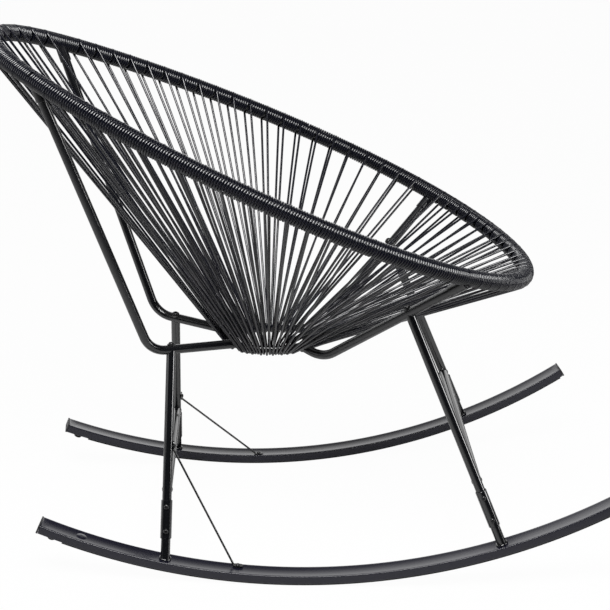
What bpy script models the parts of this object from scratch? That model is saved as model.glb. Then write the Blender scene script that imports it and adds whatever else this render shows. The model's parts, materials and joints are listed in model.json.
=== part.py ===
"""String rocking chair.

An oval steel hoop, wound with plastic string, carries a bowl of taut strings that run down to a small
ring. Four bent tubes join the ring to the hoop, four legs are bolted under those tubes, and bolted
sleeves join the legs to two curved rockers. Metres, +Z up, the chair faces +X, its left side is +Y.
"""
import math

import bmesh
import bpy
from mathutils import Vector

# Fits and stock
FIT_GAP = 0.0003
TUBE_DIAMETER = 0.016
TUBE_WALL = 0.0015
TUBE_SIDES = 8

# Rockers, measured from the point that touches the floor
ROCKER_SPACING = 0.480
ROCKER_TOE_OUT = math.radians(4.6)
ROCKER_RADIUS = 1.078
ROCKER_REAR_LENGTH = 0.432
ROCKER_FRONT_LENGTH = 0.591
ROCKER_STEP = 0.060
ROCKER_WIDTH = 0.0345
ROCKER_HEIGHT = 0.015
ROCKER_WALL = 0.0015
ROCKER_CORNER = 0.0025
STRIP_THICKNESS = 0.003
STRIP_WIDTH = 0.029
STRIP_BUMPER_GAP = 0.0125
STRIP_FRONT_INSET = 0.006
CAP_THICKNESS = 0.003
CAP_LIP = 0.0008
CAP_PLUG_DEPTH = 0.012
BUMPER_DIAMETER = 0.015
BUMPER_HEIGHT = 0.009
BUMPER_TIP_DIAMETER = 0.012
BUMPER_TIP_HEIGHT = 0.0027
BUMPER_INSET = 0.024

# Seat hoop: an egg shaped oval in a plane that falls towards the front
HOOP_CENTRE_X = -0.1144
HOOP_CENTRE_Z = 0.7246
HOOP_FALL = math.radians(24.2)
HOOP_HALF_LENGTH = 0.4896
HOOP_LENGTH_EGG = 0.0962
HOOP_HALF_WIDTH = 0.2866
HOOP_WIDTH_EGG = 0.0843
HOOP_SQUARENESS = 0.0108
HOOP_TUBE_DIAMETER = 0.020
HOOP_TUBE_WALL = 0.0015
HOOP_STATIONS = 52
HOOP_SIDES = 8

# Seat ring, an oval, and the four bent tubes that spread from it; the front ones pass lower under the hoop
RING_CENTRE_X = -0.0205
RING_HEIGHT = 0.352
RING_HALF_LENGTH = 0.0735
RING_HALF_WIDTH = 0.058
RING_ROD_DIAMETER = 0.012
RING_STATIONS = 40
RING_SIDES = 8
REAR_SPOKE_ANGLE = math.radians(155.3)
REAR_SPOKE_RUN = 0.2288
REAR_SPOKE_RISE = 0.0131
REAR_SPOKE_BEND = 0.045
FRONT_SPOKE_ANGLE = math.radians(40.0)
FRONT_SPOKE_RUN = 0.1147
FRONT_SPOKE_FALL = 0.0112
FRONT_SPOKE_BEND = 0.060
FRONT_SPOKE_DROP = 0.010
BEND_STEPS = 5
SOCKET_LENGTH = 0.036
SOCKET_WALL = 0.0013

# Legs, sleeves and stretchers
REAR_LEG_RADIUS = 0.1905
FRONT_LEG_RADIUS = 0.292
REAR_FOOT_POSITION = -0.2065
FRONT_FOOT_POSITION = 0.360
LEG_PLUG_LENGTH = 0.020
SLEEVE_LENGTH = 0.065
SLEEVE_WALL = 0.0013
STUB_SHOWING = 0.033
STRETCHER_ABOVE_SLEEVE = 0.014

# Fasteners
LEG_BOLT_DIAMETER = 0.006
LEG_BOLT_HEAD_DIAMETER = 0.0105
LEG_BOLT_HEAD_HEIGHT = 0.0055
LEG_BOLT_WASHER_DIAMETER = 0.014
LEG_BOLT_WASHER_THICKNESS = 0.0010
LEG_BOLT_WASHER_WRAP = 0.0037
LEG_BOLT_REACH = 0.012
SLEEVE_BOLT_DIAMETER = 0.005
SLEEVE_BOLT_HEAD_DIAMETER = 0.0085
SLEEVE_BOLT_HEAD_HEIGHT = 0.0028
SLEEVE_BOLT_INSET = 0.012
SLEEVE_BOLT_REACH = 0.006
BUTTON_EDGE_SHARE = 0.4
BUTTON_TOP_SHARE = 0.75
SOCKET_DRIVE_DIAMETER = 0.004
SOCKET_DRIVE_DEPTH = 0.0016

# Braces between the rear legs and the rockers: share of the leg from its top, place along the rocker
BRACE_ROD_DIAMETER = 0.0036
BRACE_TAB_WIDTH = 0.010
BRACE_TAB_LENGTH = 0.018
BRACE_TAB_THICKNESS = 0.002
BRACE_TAB_CORNER = 0.003
BRACE_ON_LEG = {"left": 0.585, "right": 0.465}
BRACE_ON_ROCKER_LEFT = -0.047
BRACE_ON_ROCKER_RIGHT = -0.084
BRACE_FOOT_INSET = 0.0085
BRACE_SCREW_DIAMETER = 0.004
BRACE_SCREW_HEAD_DIAMETER = 0.0075
BRACE_SCREW_HEAD_HEIGHT = 0.0025
BRACE_SCREW_REACH = 0.006

# Strings: pairs leave the hoop over and under it, with turns of winding between the pairs
STRING_DIAMETER = 0.0042
STRING_SIDES = 5
WINDING_SLACK = 0.0002
STRING_SPACING = 0.0358
STRING_SPACING_FRONT = 0.0265
PANELS = {"left": 3, "rear": 2, "right": 3, "front": 4}

SIDES = {"left": 1.0, "right": -1.0}
ENDS = ("rear", "front")

TUBE_RADIUS = TUBE_DIAMETER / 2
HOOP_TUBE_RADIUS = HOOP_TUBE_DIAMETER / 2
RING_ROD_RADIUS = RING_ROD_DIAMETER / 2
WINDING_THICKNESS = STRING_DIAMETER + WINDING_SLACK
WOUND_HOOP_RADIUS = (HOOP_TUBE_RADIUS + FIT_GAP + WINDING_THICKNESS) / math.cos(math.pi / HOOP_SIDES)
WOUND_RING_RADIUS = (RING_ROD_RADIUS + FIT_GAP + WINDING_THICKNESS) / math.cos(math.pi / RING_SIDES)
SLEEVE_BORE_RADIUS = TUBE_RADIUS + FIT_GAP
SLEEVE_RADIUS = SLEEVE_BORE_RADIUS + SLEEVE_WALL
SOCKET_BORE_RADIUS = TUBE_RADIUS + FIT_GAP
SOCKET_RADIUS = SOCKET_BORE_RADIUS + SOCKET_WALL
STRIP_REAR_INSET = BUMPER_INSET + BUMPER_DIAMETER / 2 + STRIP_BUMPER_GAP
ROCKER_MIDDLE = STRIP_THICKNESS + FIT_GAP + ROCKER_HEIGHT / 2
DOME_TIP_SHARE = 0.12
UP = Vector((0, 0, 1))


def clear_scene():
    """Empty the scene."""
    for item in list(bpy.data.objects):
        bpy.data.objects.remove(item, do_unlink=True)


def finish(name, colour, roughness, metallic):
    """Return a Principled material."""
    material = bpy.data.materials.new(name)
    material.use_nodes = True
    shader = material.node_tree.nodes["Principled BSDF"]
    shader.inputs["Base Color"].default_value = (*colour, 1)
    shader.inputs["Roughness"].default_value = roughness
    shader.inputs["Metallic"].default_value = metallic
    return material


def link(name, mesh, material=None):
    """Put a mesh into the scene as an object, round where its faces meet gently."""
    part = bpy.data.objects.new(name, mesh)
    bpy.context.scene.collection.objects.link(part)
    if material:
        mesh.materials.append(material)
    mesh.shade_smooth()
    mesh.set_sharp_from_angle(angle=math.radians(40))
    return part


def solid(name, rings, material=None, bore=None, closed=False):
    """Skin a row of rings into a closed solid; a bore row leaves it hollow with open ends."""
    bm = bmesh.new()

    def skin(row):
        loops = [[bm.verts.new(point) for point in ring] for ring in row]
        pairs = list(zip(loops, loops[1:]))
        if closed:
            pairs.append((loops[-1], loops[0]))
        for here, there in pairs:
            for i in range(len(here)):
                j = (i + 1) % len(here)
                bm.faces.new((here[i], here[j], there[j], there[i]))
        return loops

    outer = skin(rings)
    if bore:
        inner = skin(bore)
        for k in (0, -1):
            for i in range(len(outer[k])):
                j = (i + 1) % len(outer[k])
                bm.faces.new((outer[k][i], outer[k][j], inner[k][j], inner[k][i]))
    elif not closed:
        bm.faces.new(outer[0])
        bm.faces.new(outer[-1])
    bmesh.ops.recalc_face_normals(bm, faces=bm.faces)
    mesh = bpy.data.meshes.new(name)
    bm.to_mesh(mesh)
    bm.free()
    return link(name, mesh, material)


def combine(part, others, operation):
    """Join others to a part, or cut them out of it, and remove them."""
    group = bpy.data.collections.new("operands")
    for other in others:
        group.objects.link(other)
    step = part.modifiers.new("combine", "BOOLEAN")
    step.operation = operation
    step.solver = "EXACT"
    step.operand_type = "COLLECTION"
    step.collection = group
    graph = bpy.context.evaluated_depsgraph_get()
    mesh = bpy.data.meshes.new_from_object(part.evaluated_get(graph))
    mesh.name = part.name
    part.modifiers.clear()
    part.data = mesh
    for other in others:
        bpy.data.objects.remove(other, do_unlink=True)
    bpy.data.collections.remove(group)
    mesh.shade_smooth()
    mesh.set_sharp_from_angle(angle=math.radians(40))


def across(direction, guide=None):
    """Return two unit vectors square to a direction and to each other, the first square to a guide."""
    if not guide:
        guide = UP if abs(direction.z) < 0.9 else Vector((1, 0, 0))
    first = direction.cross(guide).normalized()
    return first, direction.cross(first).normalized()


def circle(centre, first, second, radius, sides):
    """Return the points of a circle in the plane of two unit vectors."""
    turn = [2 * math.pi * k / sides for k in range(sides)]
    return [centre + first * (radius * math.cos(a)) + second * (radius * math.sin(a)) for a in turn]


def rod(name, start, end, radius, material=None, bore=None, sides=TUBE_SIDES, guide=None):
    """Return a straight rod, or a tube when it has a bore radius."""
    first, second = across((end - start).normalized(), guide)
    rings = [circle(point, first, second, radius, sides) for point in (start, end)]
    hole = bore and [circle(point, first, second, bore, sides) for point in (start, end)]
    return solid(name, rings, material, hole)


def turned(name, base, axis, profile, material=None, sides=TUBE_SIDES):
    """Return a solid turned about an axis from (radius, height) pairs."""
    first, second = across(axis)
    rings = [circle(base + axis * height, first, second, radius, sides) for radius, height in profile]
    return solid(name, rings, material)


def dome(radius, foot, height, steps=4):
    """Return the profile of a domed head that stands on a foot."""
    arc = [math.pi / 2 * k / steps for k in range(steps)]
    crown = [(radius * math.cos(a), foot + (height - foot) * math.sin(a)) for a in arc]
    return crown + [(radius * DOME_TIP_SHARE, height)]


def bisect(is_below, low, high):
    """Return the value between low and high where a test stops being true."""
    for _ in range(60):
        middle = (low + high) / 2
        if is_below(middle):
            low = middle
        else:
            high = middle
    return (low + high) / 2


class Spine:
    """A row of stations that profiles are swept along; places between stations follow the chords."""

    def __init__(self, centres, firsts, seconds, closed):
        self.stations = list(zip(centres, firsts, seconds))
        self.closed = closed
        ends = centres[1:] + (centres[:1] if closed else [])
        self.reach = [0.0]
        for here, there in zip(centres, ends):
            self.reach.append(self.reach[-1] + (there - here).length)

    def at(self, length):
        """Return the centre and the two cross directions at a length along the spine."""
        count = len(self.stations)
        if self.closed:
            length %= self.reach[-1]
        k = 0
        while k < len(self.reach) - 2 and self.reach[k + 1] <= length:
            k += 1
        share = (length - self.reach[k]) / (self.reach[k + 1] - self.reach[k])
        here, there = self.stations[k], self.stations[(k + 1) % count]
        return [a.lerp(b, share) for a, b in zip(here, there)]

    def rows(self, start, end):
        """Return the places from start to end: both ends and the stations between them."""
        turns = (0, 1) if self.closed else (0,)
        stops = [turn * self.reach[-1] + reach for turn in turns for reach in self.reach[:-1]]
        inside = [stop for stop in stops if start + FIT_GAP < stop < end - FIT_GAP]
        return [self.at(place) for place in (start, *inside, end)]

    def tube(self, start, end, radius, sides):
        """Return the rings of a round tube between two lengths."""
        return [circle(*row, radius, sides) for row in self.rows(start, end)]


def hoop_point(turn):
    """Return a point of the hoop's centre line; turn 0 is the front, half a turn the back."""
    along = HOOP_HALF_LENGTH * math.cos(turn) + HOOP_LENGTH_EGG * math.cos(2 * turn)
    wide = HOOP_HALF_WIDTH * math.sin(turn) + HOOP_WIDTH_EGG * math.sin(2 * turn)
    wide += HOOP_SQUARENESS * math.sin(3 * turn)
    x = HOOP_CENTRE_X + along * math.cos(HOOP_FALL)
    z = HOOP_CENTRE_Z - along * math.sin(HOOP_FALL)
    return Vector((x, wide, z))


def hoop_spine():
    """Return the closed spine of the hoop, from the back round by the right side."""
    normal = Vector((math.sin(HOOP_FALL), 0, math.cos(HOOP_FALL)))
    turns = [math.pi + 2 * math.pi * k / HOOP_STATIONS for k in range(HOOP_STATIONS)]
    centres = [hoop_point(turn) for turn in turns]
    step = math.pi / HOOP_STATIONS
    tangents = [(hoop_point(turn + step) - hoop_point(turn - step)).normalized() for turn in turns]
    outward = [tangent.cross(normal) for tangent in tangents]
    return Spine(centres, outward, [normal] * HOOP_STATIONS, closed=True)


def ring_direction(angle):
    """Return the level direction that leaves the ring's centre at an angle from the front."""
    return Vector((math.cos(angle), math.sin(angle), 0))


def ring_turn_at(angle):
    """Return the ring's turn that lies at an angle from the front, seen from its centre."""
    return math.atan2(RING_HALF_LENGTH * math.sin(angle), RING_HALF_WIDTH * math.cos(angle))


def ring_point(turn):
    """Return a point of the ring's centre line; turn 0 is the front, half a turn the back."""
    x = RING_CENTRE_X + RING_HALF_LENGTH * math.cos(turn)
    return Vector((x, RING_HALF_WIDTH * math.sin(turn), RING_HEIGHT))


def ring_spine():
    """Return the closed spine of the seat ring, from the back round by the right side."""
    turns = [math.pi + 2 * math.pi * k / RING_STATIONS for k in range(RING_STATIONS)]
    step = math.pi / RING_STATIONS
    tangents = [(ring_point(turn + step) - ring_point(turn - step)).normalized() for turn in turns]
    outward = [tangent.cross(UP) for tangent in tangents]
    return Spine([ring_point(turn) for turn in turns], outward, [UP] * RING_STATIONS, closed=True)


def hoop_turn_at(angle):
    """Return the hoop's turn that lies at an angle from the front, seen from the ring's centre."""
    def is_before(turn):
        point = hoop_point(turn)
        return math.atan2(point.y, point.x - RING_CENTRE_X) < angle

    return bisect(is_before, 0.0, math.pi)


class Spoke:
    """A bent tube in an upright plane: out from the ring, round a bend and up to the hoop."""

    def __init__(self, end, side):
        rear = end == "rear"
        self.angle = REAR_SPOKE_ANGLE if rear else FRONT_SPOKE_ANGLE
        self.turn = hoop_turn_at(self.angle)
        self.sign = SIDES[side]
        run = REAR_SPOKE_RUN if rear else FRONT_SPOKE_RUN
        rise = REAR_SPOKE_RISE if rear else -FRONT_SPOKE_FALL
        drop = 0 if rear else FRONT_SPOKE_DROP
        self.outward = ring_direction(self.angle * self.sign)
        self.square = UP.cross(self.outward)
        self.inner = ring_point(ring_turn_at(self.angle * self.sign)) + self.outward * (RING_ROD_RADIUS / 4)
        self.corner = self.place(run, RING_HEIGHT + rise)
        self.on_hoop = hoop_point(self.turn * self.sign)
        span = self.on_hoop - self.corner
        lower = math.asin(drop / span.length)
        ahead = span.normalized()
        self.upward = ahead * math.cos(lower) - ahead.cross(self.square) * math.sin(lower)
        self.top = self.corner + self.upward * (span.length * math.cos(lower))
        self.bend = REAR_SPOKE_BEND if rear else FRONT_SPOKE_BEND
        self.leg_radius = REAR_LEG_RADIUS if rear else FRONT_LEG_RADIUS

    def place(self, radius, height):
        """Return the point of the spoke's plane at a radius from the ring's centre."""
        return Vector((RING_CENTRE_X, 0, height)) + self.outward * radius

    def leg_seat(self):
        """Return the point of the centre line that the leg is bolted under."""
        spine = self.spine()

        def is_nearer(length):
            return (spine.at(length)[0] - self.place(0, 0)).dot(self.outward) < self.leg_radius

        return spine.at(bisect(is_nearer, 0.0, spine.reach[-1]))[0]

    def cutter(self):
        """Return a cutter of the whole spoke with the fit gap round it."""
        spine = self.spine()
        return solid("saddle", spine.tube(0, spine.reach[-1], TUBE_RADIUS + FIT_GAP, TUBE_SIDES))

    def spine(self):
        """Return the open spine from the ring's rod into the hoop's tube, where the spoke is coped."""
        level = (self.corner - self.inner).normalized()
        bend_angle = level.angle(self.upward)
        tangent = self.bend * math.tan(bend_angle / 2)
        start = self.corner - level * tangent
        lift = level.cross(self.square)
        centre = start + lift * self.bend
        directions, points = [level], [self.inner]
        for k in range(BEND_STEPS + 1):
            a = bend_angle * k / BEND_STEPS
            points.append(centre + (level * math.sin(a) - lift * math.cos(a)) * self.bend)
            directions.append(level * math.cos(a) + lift * math.sin(a))
        points.append(self.top - self.upward * (HOOP_TUBE_RADIUS / 2))
        directions.append(self.upward)
        seconds = [direction.cross(self.square) for direction in directions]
        return Spine(points, [self.square] * len(points), seconds, closed=False)


class Rocker:
    """The arc of one rocker in its own upright plane, toed out to the front."""

    def __init__(self, side):
        self.sign = SIDES[side]
        toe = ROCKER_TOE_OUT * self.sign
        self.forward = Vector((math.cos(toe), math.sin(toe), 0))
        self.across = UP.cross(self.forward)
        self.centre = Vector((0, self.sign * ROCKER_SPACING / 2, ROCKER_RADIUS))
        half = ROCKER_STEP / 2
        rear = [-length for length in self.steps(half, ROCKER_REAR_LENGTH)]
        front = self.steps(half, ROCKER_FRONT_LENGTH)
        self.angles = [length / ROCKER_RADIUS for length in rear[::-1] + front]

    @staticmethod
    def steps(start, end):
        """Return even steps along the arc from start to end."""
        count = max(1, round((end - start) / ROCKER_STEP))
        return [start + (end - start) * k / count for k in range(count + 1)]

    def inward(self, angle):
        """Return the direction from the arc towards its centre."""
        return UP * math.cos(angle) - self.forward * math.sin(angle)

    def spine(self, depth):
        """Return the open spine that lies a depth above the rolling face."""
        inward = [self.inward(angle) for angle in self.angles]
        centres = [self.centre - direction * (ROCKER_RADIUS - depth) for direction in inward]
        return Spine(centres, [self.across] * len(centres), inward, closed=False)

    def on_top(self, position, aside=0.0):
        """Return the point of the top face at a forward position, and the face's normal there."""
        spine = self.spine(ROCKER_MIDDLE + ROCKER_HEIGHT / 2)

        def is_behind(length):
            return (spine.at(length)[0] - self.centre).dot(self.forward) < position

        place = bisect(is_behind, 0.0, spine.reach[-1])
        k = max(j for j in range(len(spine.reach) - 1) if spine.reach[j] <= place)
        chord = spine.stations[k + 1][0] - spine.stations[k][0]
        centre, across_rocker, _ = spine.at(place)
        return centre + across_rocker * aside, chord.cross(across_rocker).normalized()

    def body(self, name, margin):
        """Return the rocker's outer shape, grown all round by a margin."""
        rows = self.spine(ROCKER_MIDDLE).stations
        half = (ROCKER_WIDTH / 2 + margin, ROCKER_HEIGHT / 2 + margin)
        return solid(name, [box_ring(row, *half, ROCKER_CORNER) for row in rows])


def box_ring(row, half_width, half_height, corner):
    """Return a rectangle with cut corners about a station's centre."""
    centre, first, second = row
    quarter = [(half_width, half_height - corner), (half_width - corner, half_height)]
    half = quarter + [(-u, v) for u, v in reversed(quarter)]
    outline = half + [(-u, -v) for u, v in half]
    return [centre + first * u + second * v for u, v in outline]


def make_rocker(side, rocker, legs, paint):
    """Make a rocker's bent box tube with the two leg stubs welded to its top."""
    rows = rocker.spine(ROCKER_MIDDLE).stations
    half = (ROCKER_WIDTH / 2, ROCKER_HEIGHT / 2)
    inner = (half[0] - ROCKER_WALL, half[1] - ROCKER_WALL)
    weld = ROCKER_WALL / 3
    outer_rings = [box_ring(row, *half, ROCKER_CORNER) for row in rows]
    bore_rings = [box_ring(row, *inner, ROCKER_CORNER - ROCKER_WALL / 2) for row in rows]
    tube = solid("rocker_" + side, outer_rings, paint, bore_rings)
    stubs = []
    for leg in legs:
        start = leg.foot + leg.down * (ROCKER_HEIGHT / 2)
        stub = rod("stub", start, leg.joint + leg.down * FIT_GAP, TUBE_RADIUS, bore=TUBE_RADIUS - TUBE_WALL)
        cavity = [box_ring(row, inner[0] + weld, inner[1] + weld, ROCKER_CORNER) for row in rows]
        holes = [solid("cavity", cavity), leg.bolt_hole("lower")]
        combine(stub, holes, "DIFFERENCE")
        stubs.append(stub)
    combine(tube, stubs, "UNION")
    return tube


def make_rocker_trim(side, rocker, plastic, rubber):
    """Make the end caps, the floor strip and the rear bumper of a rocker."""
    middle = rocker.spine(ROCKER_MIDDLE)
    slack = ROCKER_WALL + FIT_GAP
    plug = (ROCKER_WIDTH / 2 - slack, ROCKER_HEIGHT / 2 - slack, ROCKER_CORNER / 2)
    plate = (ROCKER_WIDTH / 2 + CAP_LIP, ROCKER_HEIGHT / 2 + CAP_LIP, ROCKER_CORNER)
    length = middle.reach[-1]
    for end, mouth, inside in (("rear", 0.0, CAP_PLUG_DEPTH), ("front", length, length - CAP_PLUG_DEPTH)):
        centre, first, second = middle.at(mouth)
        out = (centre - middle.at(inside)[0]).normalized()
        rings = [box_ring(middle.at(inside), *plug)]
        for profile, offset in ((plug, FIT_GAP), (plate, FIT_GAP), (plate, FIT_GAP + CAP_THICKNESS)):
            rings.append(box_ring((centre + out * offset, first, second), *profile))
        solid("rocker_cap_%s_%s" % (end, side), rings, plastic)
    lower = rocker.spine(STRIP_THICKNESS / 2)
    rows = lower.rows(STRIP_REAR_INSET, lower.reach[-1] - STRIP_FRONT_INSET)
    strip = (STRIP_WIDTH / 2, STRIP_THICKNESS / 2, STRIP_THICKNESS / 4)
    solid("floor_strip_" + side, [box_ring(row, *strip) for row in rows], rubber)
    seat, _, inward = rocker.spine(STRIP_THICKNESS).at(BUMPER_INSET)
    profile = [(BUMPER_DIAMETER / 2, 0), (BUMPER_DIAMETER / 2, BUMPER_HEIGHT - BUMPER_TIP_HEIGHT),
               (BUMPER_TIP_DIAMETER / 2, BUMPER_HEIGHT)]
    turned("rear_bumper_" + side, seat, -inward.normalized(), profile, rubber)


class Leg:
    """A straight tube bolted under a spoke, joined to a rocker's stub by a sleeve."""

    def __init__(self, end, side, spoke, rocker):
        self.name = "%s_%s" % (end, side)
        self.spoke = spoke
        self.seat = spoke.leg_seat()
        position = REAR_FOOT_POSITION if end == "rear" else FRONT_FOOT_POSITION
        self.foot, _ = rocker.on_top(position)
        self.down = (self.foot - self.seat).normalized()
        length = (self.foot - self.seat).length
        self.sleeve_end = self.seat + self.down * (length - STUB_SHOWING)
        self.sleeve_start = self.sleeve_end - self.down * SLEEVE_LENGTH
        self.joint = (self.sleeve_start + self.sleeve_end) / 2
        self.stretcher = self.sleeve_start - self.down * STRETCHER_ABOVE_SLEEVE
        outside = Vector((0, SIDES[side], 0))
        self.outside = (outside - self.down * outside.dot(self.down)).normalized()
        ahead = Vector((1, 0, 0))
        self.ahead = (ahead - self.down * ahead.dot(self.down)).normalized()

    def bolt_place(self, which):
        """Return the place on the leg's axis of the sleeve's upper or lower bolt."""
        if which == "upper":
            return self.sleeve_start + self.down * SLEEVE_BOLT_INSET
        return self.sleeve_end - self.down * SLEEVE_BOLT_INSET

    def bolt_hole(self, which):
        """Return the cutter of a sleeve bolt's hole through one wall."""
        place = self.bolt_place(which)
        reach = SLEEVE_RADIUS + SLEEVE_BOLT_HEAD_HEIGHT
        return rod("hole", place, place + self.outside * reach, SLEEVE_BOLT_DIAMETER / 2 + FIT_GAP)

    def tube_cutter(self):
        """Return a cutter the size of the leg's tube, with the fit gap."""
        return rod("leg", self.seat, self.joint, TUBE_RADIUS + FIT_GAP)

    def brace_seat(self, share):
        """Return the place on the leg's front side at a share of the way to the rocker."""
        return self.seat.lerp(self.foot, share) + self.ahead * TUBE_RADIUS


def make_leg(leg, brace_share, paint, steel):
    """Make a leg, the bolt in its top and the sleeve at its foot with two bolts."""
    top = leg.seat + leg.down * (TUBE_RADIUS / 2)
    tube = rod("leg_" + leg.name, top, leg.joint - leg.down * FIT_GAP, TUBE_RADIUS, paint)
    plug_end = leg.seat + leg.down * (TUBE_RADIUS + LEG_PLUG_LENGTH)
    hole_radius = LEG_BOLT_DIAMETER / 2 + FIT_GAP
    cutters = [rod("bore", plug_end, leg.joint + leg.down * TUBE_RADIUS, TUBE_RADIUS - TUBE_WALL),
               rod("thread", leg.seat, plug_end + leg.down * TUBE_WALL, hole_radius),
               leg.spoke.cutter(), leg.bolt_hole("upper")]
    if brace_share:
        cutters.append(screw_hole(leg.brace_seat(brace_share), leg.ahead))
    for cutter in cutters:
        combine(tube, [cutter], "DIFFERENCE")

    sleeve = rod("leg_sleeve_" + leg.name, leg.sleeve_start, leg.sleeve_end, SLEEVE_RADIUS, paint,
                 SLEEVE_BORE_RADIUS)
    combine(sleeve, [leg.bolt_hole(which) for which in ("upper", "lower")], "DIFFERENCE")
    for which in ("upper", "lower"):
        face = leg.bolt_place(which) + leg.outside * (SLEEVE_RADIUS + FIT_GAP)
        head, shank = SLEEVE_BOLT_HEAD_DIAMETER / 2, SLEEVE_BOLT_DIAMETER / 2
        height, drive = SLEEVE_BOLT_HEAD_HEIGHT, SOCKET_DRIVE_DIAMETER / 2
        profile = [(shank, -SLEEVE_WALL - TUBE_WALL - SLEEVE_BOLT_REACH / 2), (shank, 0), (head, 0),
                   (head, height * BUTTON_EDGE_SHARE), (head * BUTTON_TOP_SHARE, height), (drive, height),
                   (drive, height - SOCKET_DRIVE_DEPTH)]
        turned("sleeve_bolt_%s_%s" % (which, leg.name), face, leg.outside, profile, steel)

    washer, shank = LEG_BOLT_WASHER_DIAMETER / 2, LEG_BOLT_DIAMETER / 2
    crest = TUBE_RADIUS + FIT_GAP
    seat = crest + LEG_BOLT_WASHER_THICKNESS
    collar = [(washer, crest - LEG_BOLT_WASHER_WRAP), (washer, seat)]
    crown = dome(LEG_BOLT_HEAD_DIAMETER / 2, seat, crest + LEG_BOLT_HEAD_HEIGHT)
    bolt = turned("leg_bolt_" + leg.name, leg.seat, -leg.down, collar + crown, steel)
    combine(bolt, [leg.spoke.cutter()], "DIFFERENCE")
    tip = leg.seat + leg.down * (TUBE_RADIUS + LEG_BOLT_REACH)
    root = leg.seat - leg.down * (seat + LEG_BOLT_WASHER_THICKNESS / 2)
    combine(bolt, [rod("shank", root, tip, shank)], "UNION")


def make_stretcher(end, left, right, paint):
    """Make the level tube between the two legs of one end, coped round both."""
    bore = TUBE_RADIUS - TUBE_WALL
    inset = (left.stretcher - right.stretcher).normalized() * (TUBE_RADIUS / 2)
    tube = rod("stretcher_" + end, right.stretcher + inset, left.stretcher - inset, TUBE_RADIUS, paint, bore)
    combine(tube, [left.tube_cutter(), right.tube_cutter()], "DIFFERENCE")


def make_spoke(end, side, spoke, leg, ring, hoop, paint):
    """Make a bent tube, coped round the ring, and the socket that holds it under the hoop."""
    spine = spoke.spine()
    length = spine.reach[-1]
    tube = solid("spoke_%s_%s" % (end, side), spine.tube(0, length, TUBE_RADIUS, TUBE_SIDES), paint,
                 spine.tube(0, length, TUBE_RADIUS - TUBE_WALL, TUBE_SIDES))
    cope = [circle(*row, RING_ROD_RADIUS + FIT_GAP, RING_SIDES) for row in ring.stations]
    top = leg.seat - leg.down * (2 * TUBE_RADIUS)
    bottom = leg.seat + leg.down * (2 * TUBE_RADIUS)
    saddle = [circle(*row, HOOP_TUBE_RADIUS + FIT_GAP, HOOP_SIDES) for row in hoop.stations]
    combine(tube, [solid("cope", cope, closed=True)], "DIFFERENCE")
    combine(tube, [solid("saddle", saddle, closed=True)], "DIFFERENCE")
    combine(tube, [rod("bolt_hole", top, bottom, LEG_BOLT_DIAMETER / 2 + FIT_GAP)], "DIFFERENCE")

    mouth = spoke.top - spoke.upward * (HOOP_TUBE_RADIUS / 2)
    socket = rod("rim_socket_%s_%s" % (end, side), mouth, spoke.top - spoke.upward * SOCKET_LENGTH,
                 SOCKET_RADIUS, paint, SOCKET_BORE_RADIUS, guide=spoke.outward)
    combine(socket, [solid("saddle", saddle, closed=True)], "DIFFERENCE")


def make_tab(name, seat, normal, along):
    """Return a flattened rod end that lies on a face, and the point where the rod leaves it."""
    aside = normal.cross(along).normalized()
    half, width = BRACE_TAB_LENGTH / 2, BRACE_TAB_WIDTH / 2
    low, high = seat + normal * FIT_GAP, seat + normal * (FIT_GAP + BRACE_TAB_THICKNESS)
    rings = [box_ring((base, along, aside), half, width, BRACE_TAB_CORNER) for base in (low, high)]
    return solid(name, rings), high + along * (half - BRACE_ROD_DIAMETER / 2)


def screw_hole(seat, normal):
    """Return the cutter of a brace screw's hole through what it holds."""
    reach = normal * BRACE_SCREW_REACH
    return rod("hole", seat - reach, seat + reach, BRACE_SCREW_DIAMETER / 2 + FIT_GAP)


def make_brace(side, leg, rocker, paint, steel):
    """Make the thin rod from a rear leg to its rocker, and return the cutter of its lower screw's hole.

    It has a flattened tab and a screw at each end.
    """
    leg_seat = leg.brace_seat(BRACE_ON_LEG[side])
    aside = -rocker.sign * (ROCKER_WIDTH / 2 - BRACE_FOOT_INSET)
    place = BRACE_ON_ROCKER_LEFT if side == "left" else BRACE_ON_ROCKER_RIGHT
    foot_seat, foot_normal = rocker.on_top(place, aside)
    foot_along = (rocker.forward - foot_normal * rocker.forward.dot(foot_normal)).normalized() * -1
    upper, rod_top = make_tab("tab", leg_seat, leg.ahead, leg.down)
    lower, rod_foot = make_tab("tab", foot_seat, foot_normal, foot_along)
    brace = rod("brace_" + side, rod_top, rod_foot, BRACE_ROD_DIAMETER / 2, paint)
    combine(brace, [upper, lower], "UNION")
    combine(brace, [rocker.body("rocker", FIT_GAP * 0.9)], "DIFFERENCE")
    for which, seat, normal in (("upper", leg_seat, leg.ahead), ("lower", foot_seat, foot_normal)):
        combine(brace, [screw_hole(seat, normal)], "DIFFERENCE")
        shank, head = BRACE_SCREW_DIAMETER / 2, BRACE_SCREW_HEAD_DIAMETER / 2
        face = seat + normal * (2 * FIT_GAP + BRACE_TAB_THICKNESS)
        profile = [(shank, -BRACE_SCREW_REACH), (shank, 0)] + dome(head, 0, BRACE_SCREW_HEAD_HEIGHT, 3)
        turned("brace_screw_%s_%s" % (which, side), face, normal, profile, steel)
    return screw_hole(foot_seat, foot_normal)


def string_ends(hoop_row, ring_row):
    """Return the two strings of a pair: common tangents on the inside and outside of hoop and ring."""
    pairs = []
    direction = (ring_row[0] - hoop_row[0]).normalized()
    for side in (1, -1):
        ends = []
        for (centre, first, second), radius in ((hoop_row, HOOP_TUBE_RADIUS), (ring_row, RING_ROD_RADIUS)):
            flat = (direction.dot(first), direction.dot(second))
            square = (first * -flat[1] + second * flat[0]).normalized()
            if square.z < 0:
                square = -square
            ends.append(centre + square * (side * (radius + FIT_GAP + WINDING_THICKNESS / 2)))
        pairs.append(ends)
    return pairs


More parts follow.
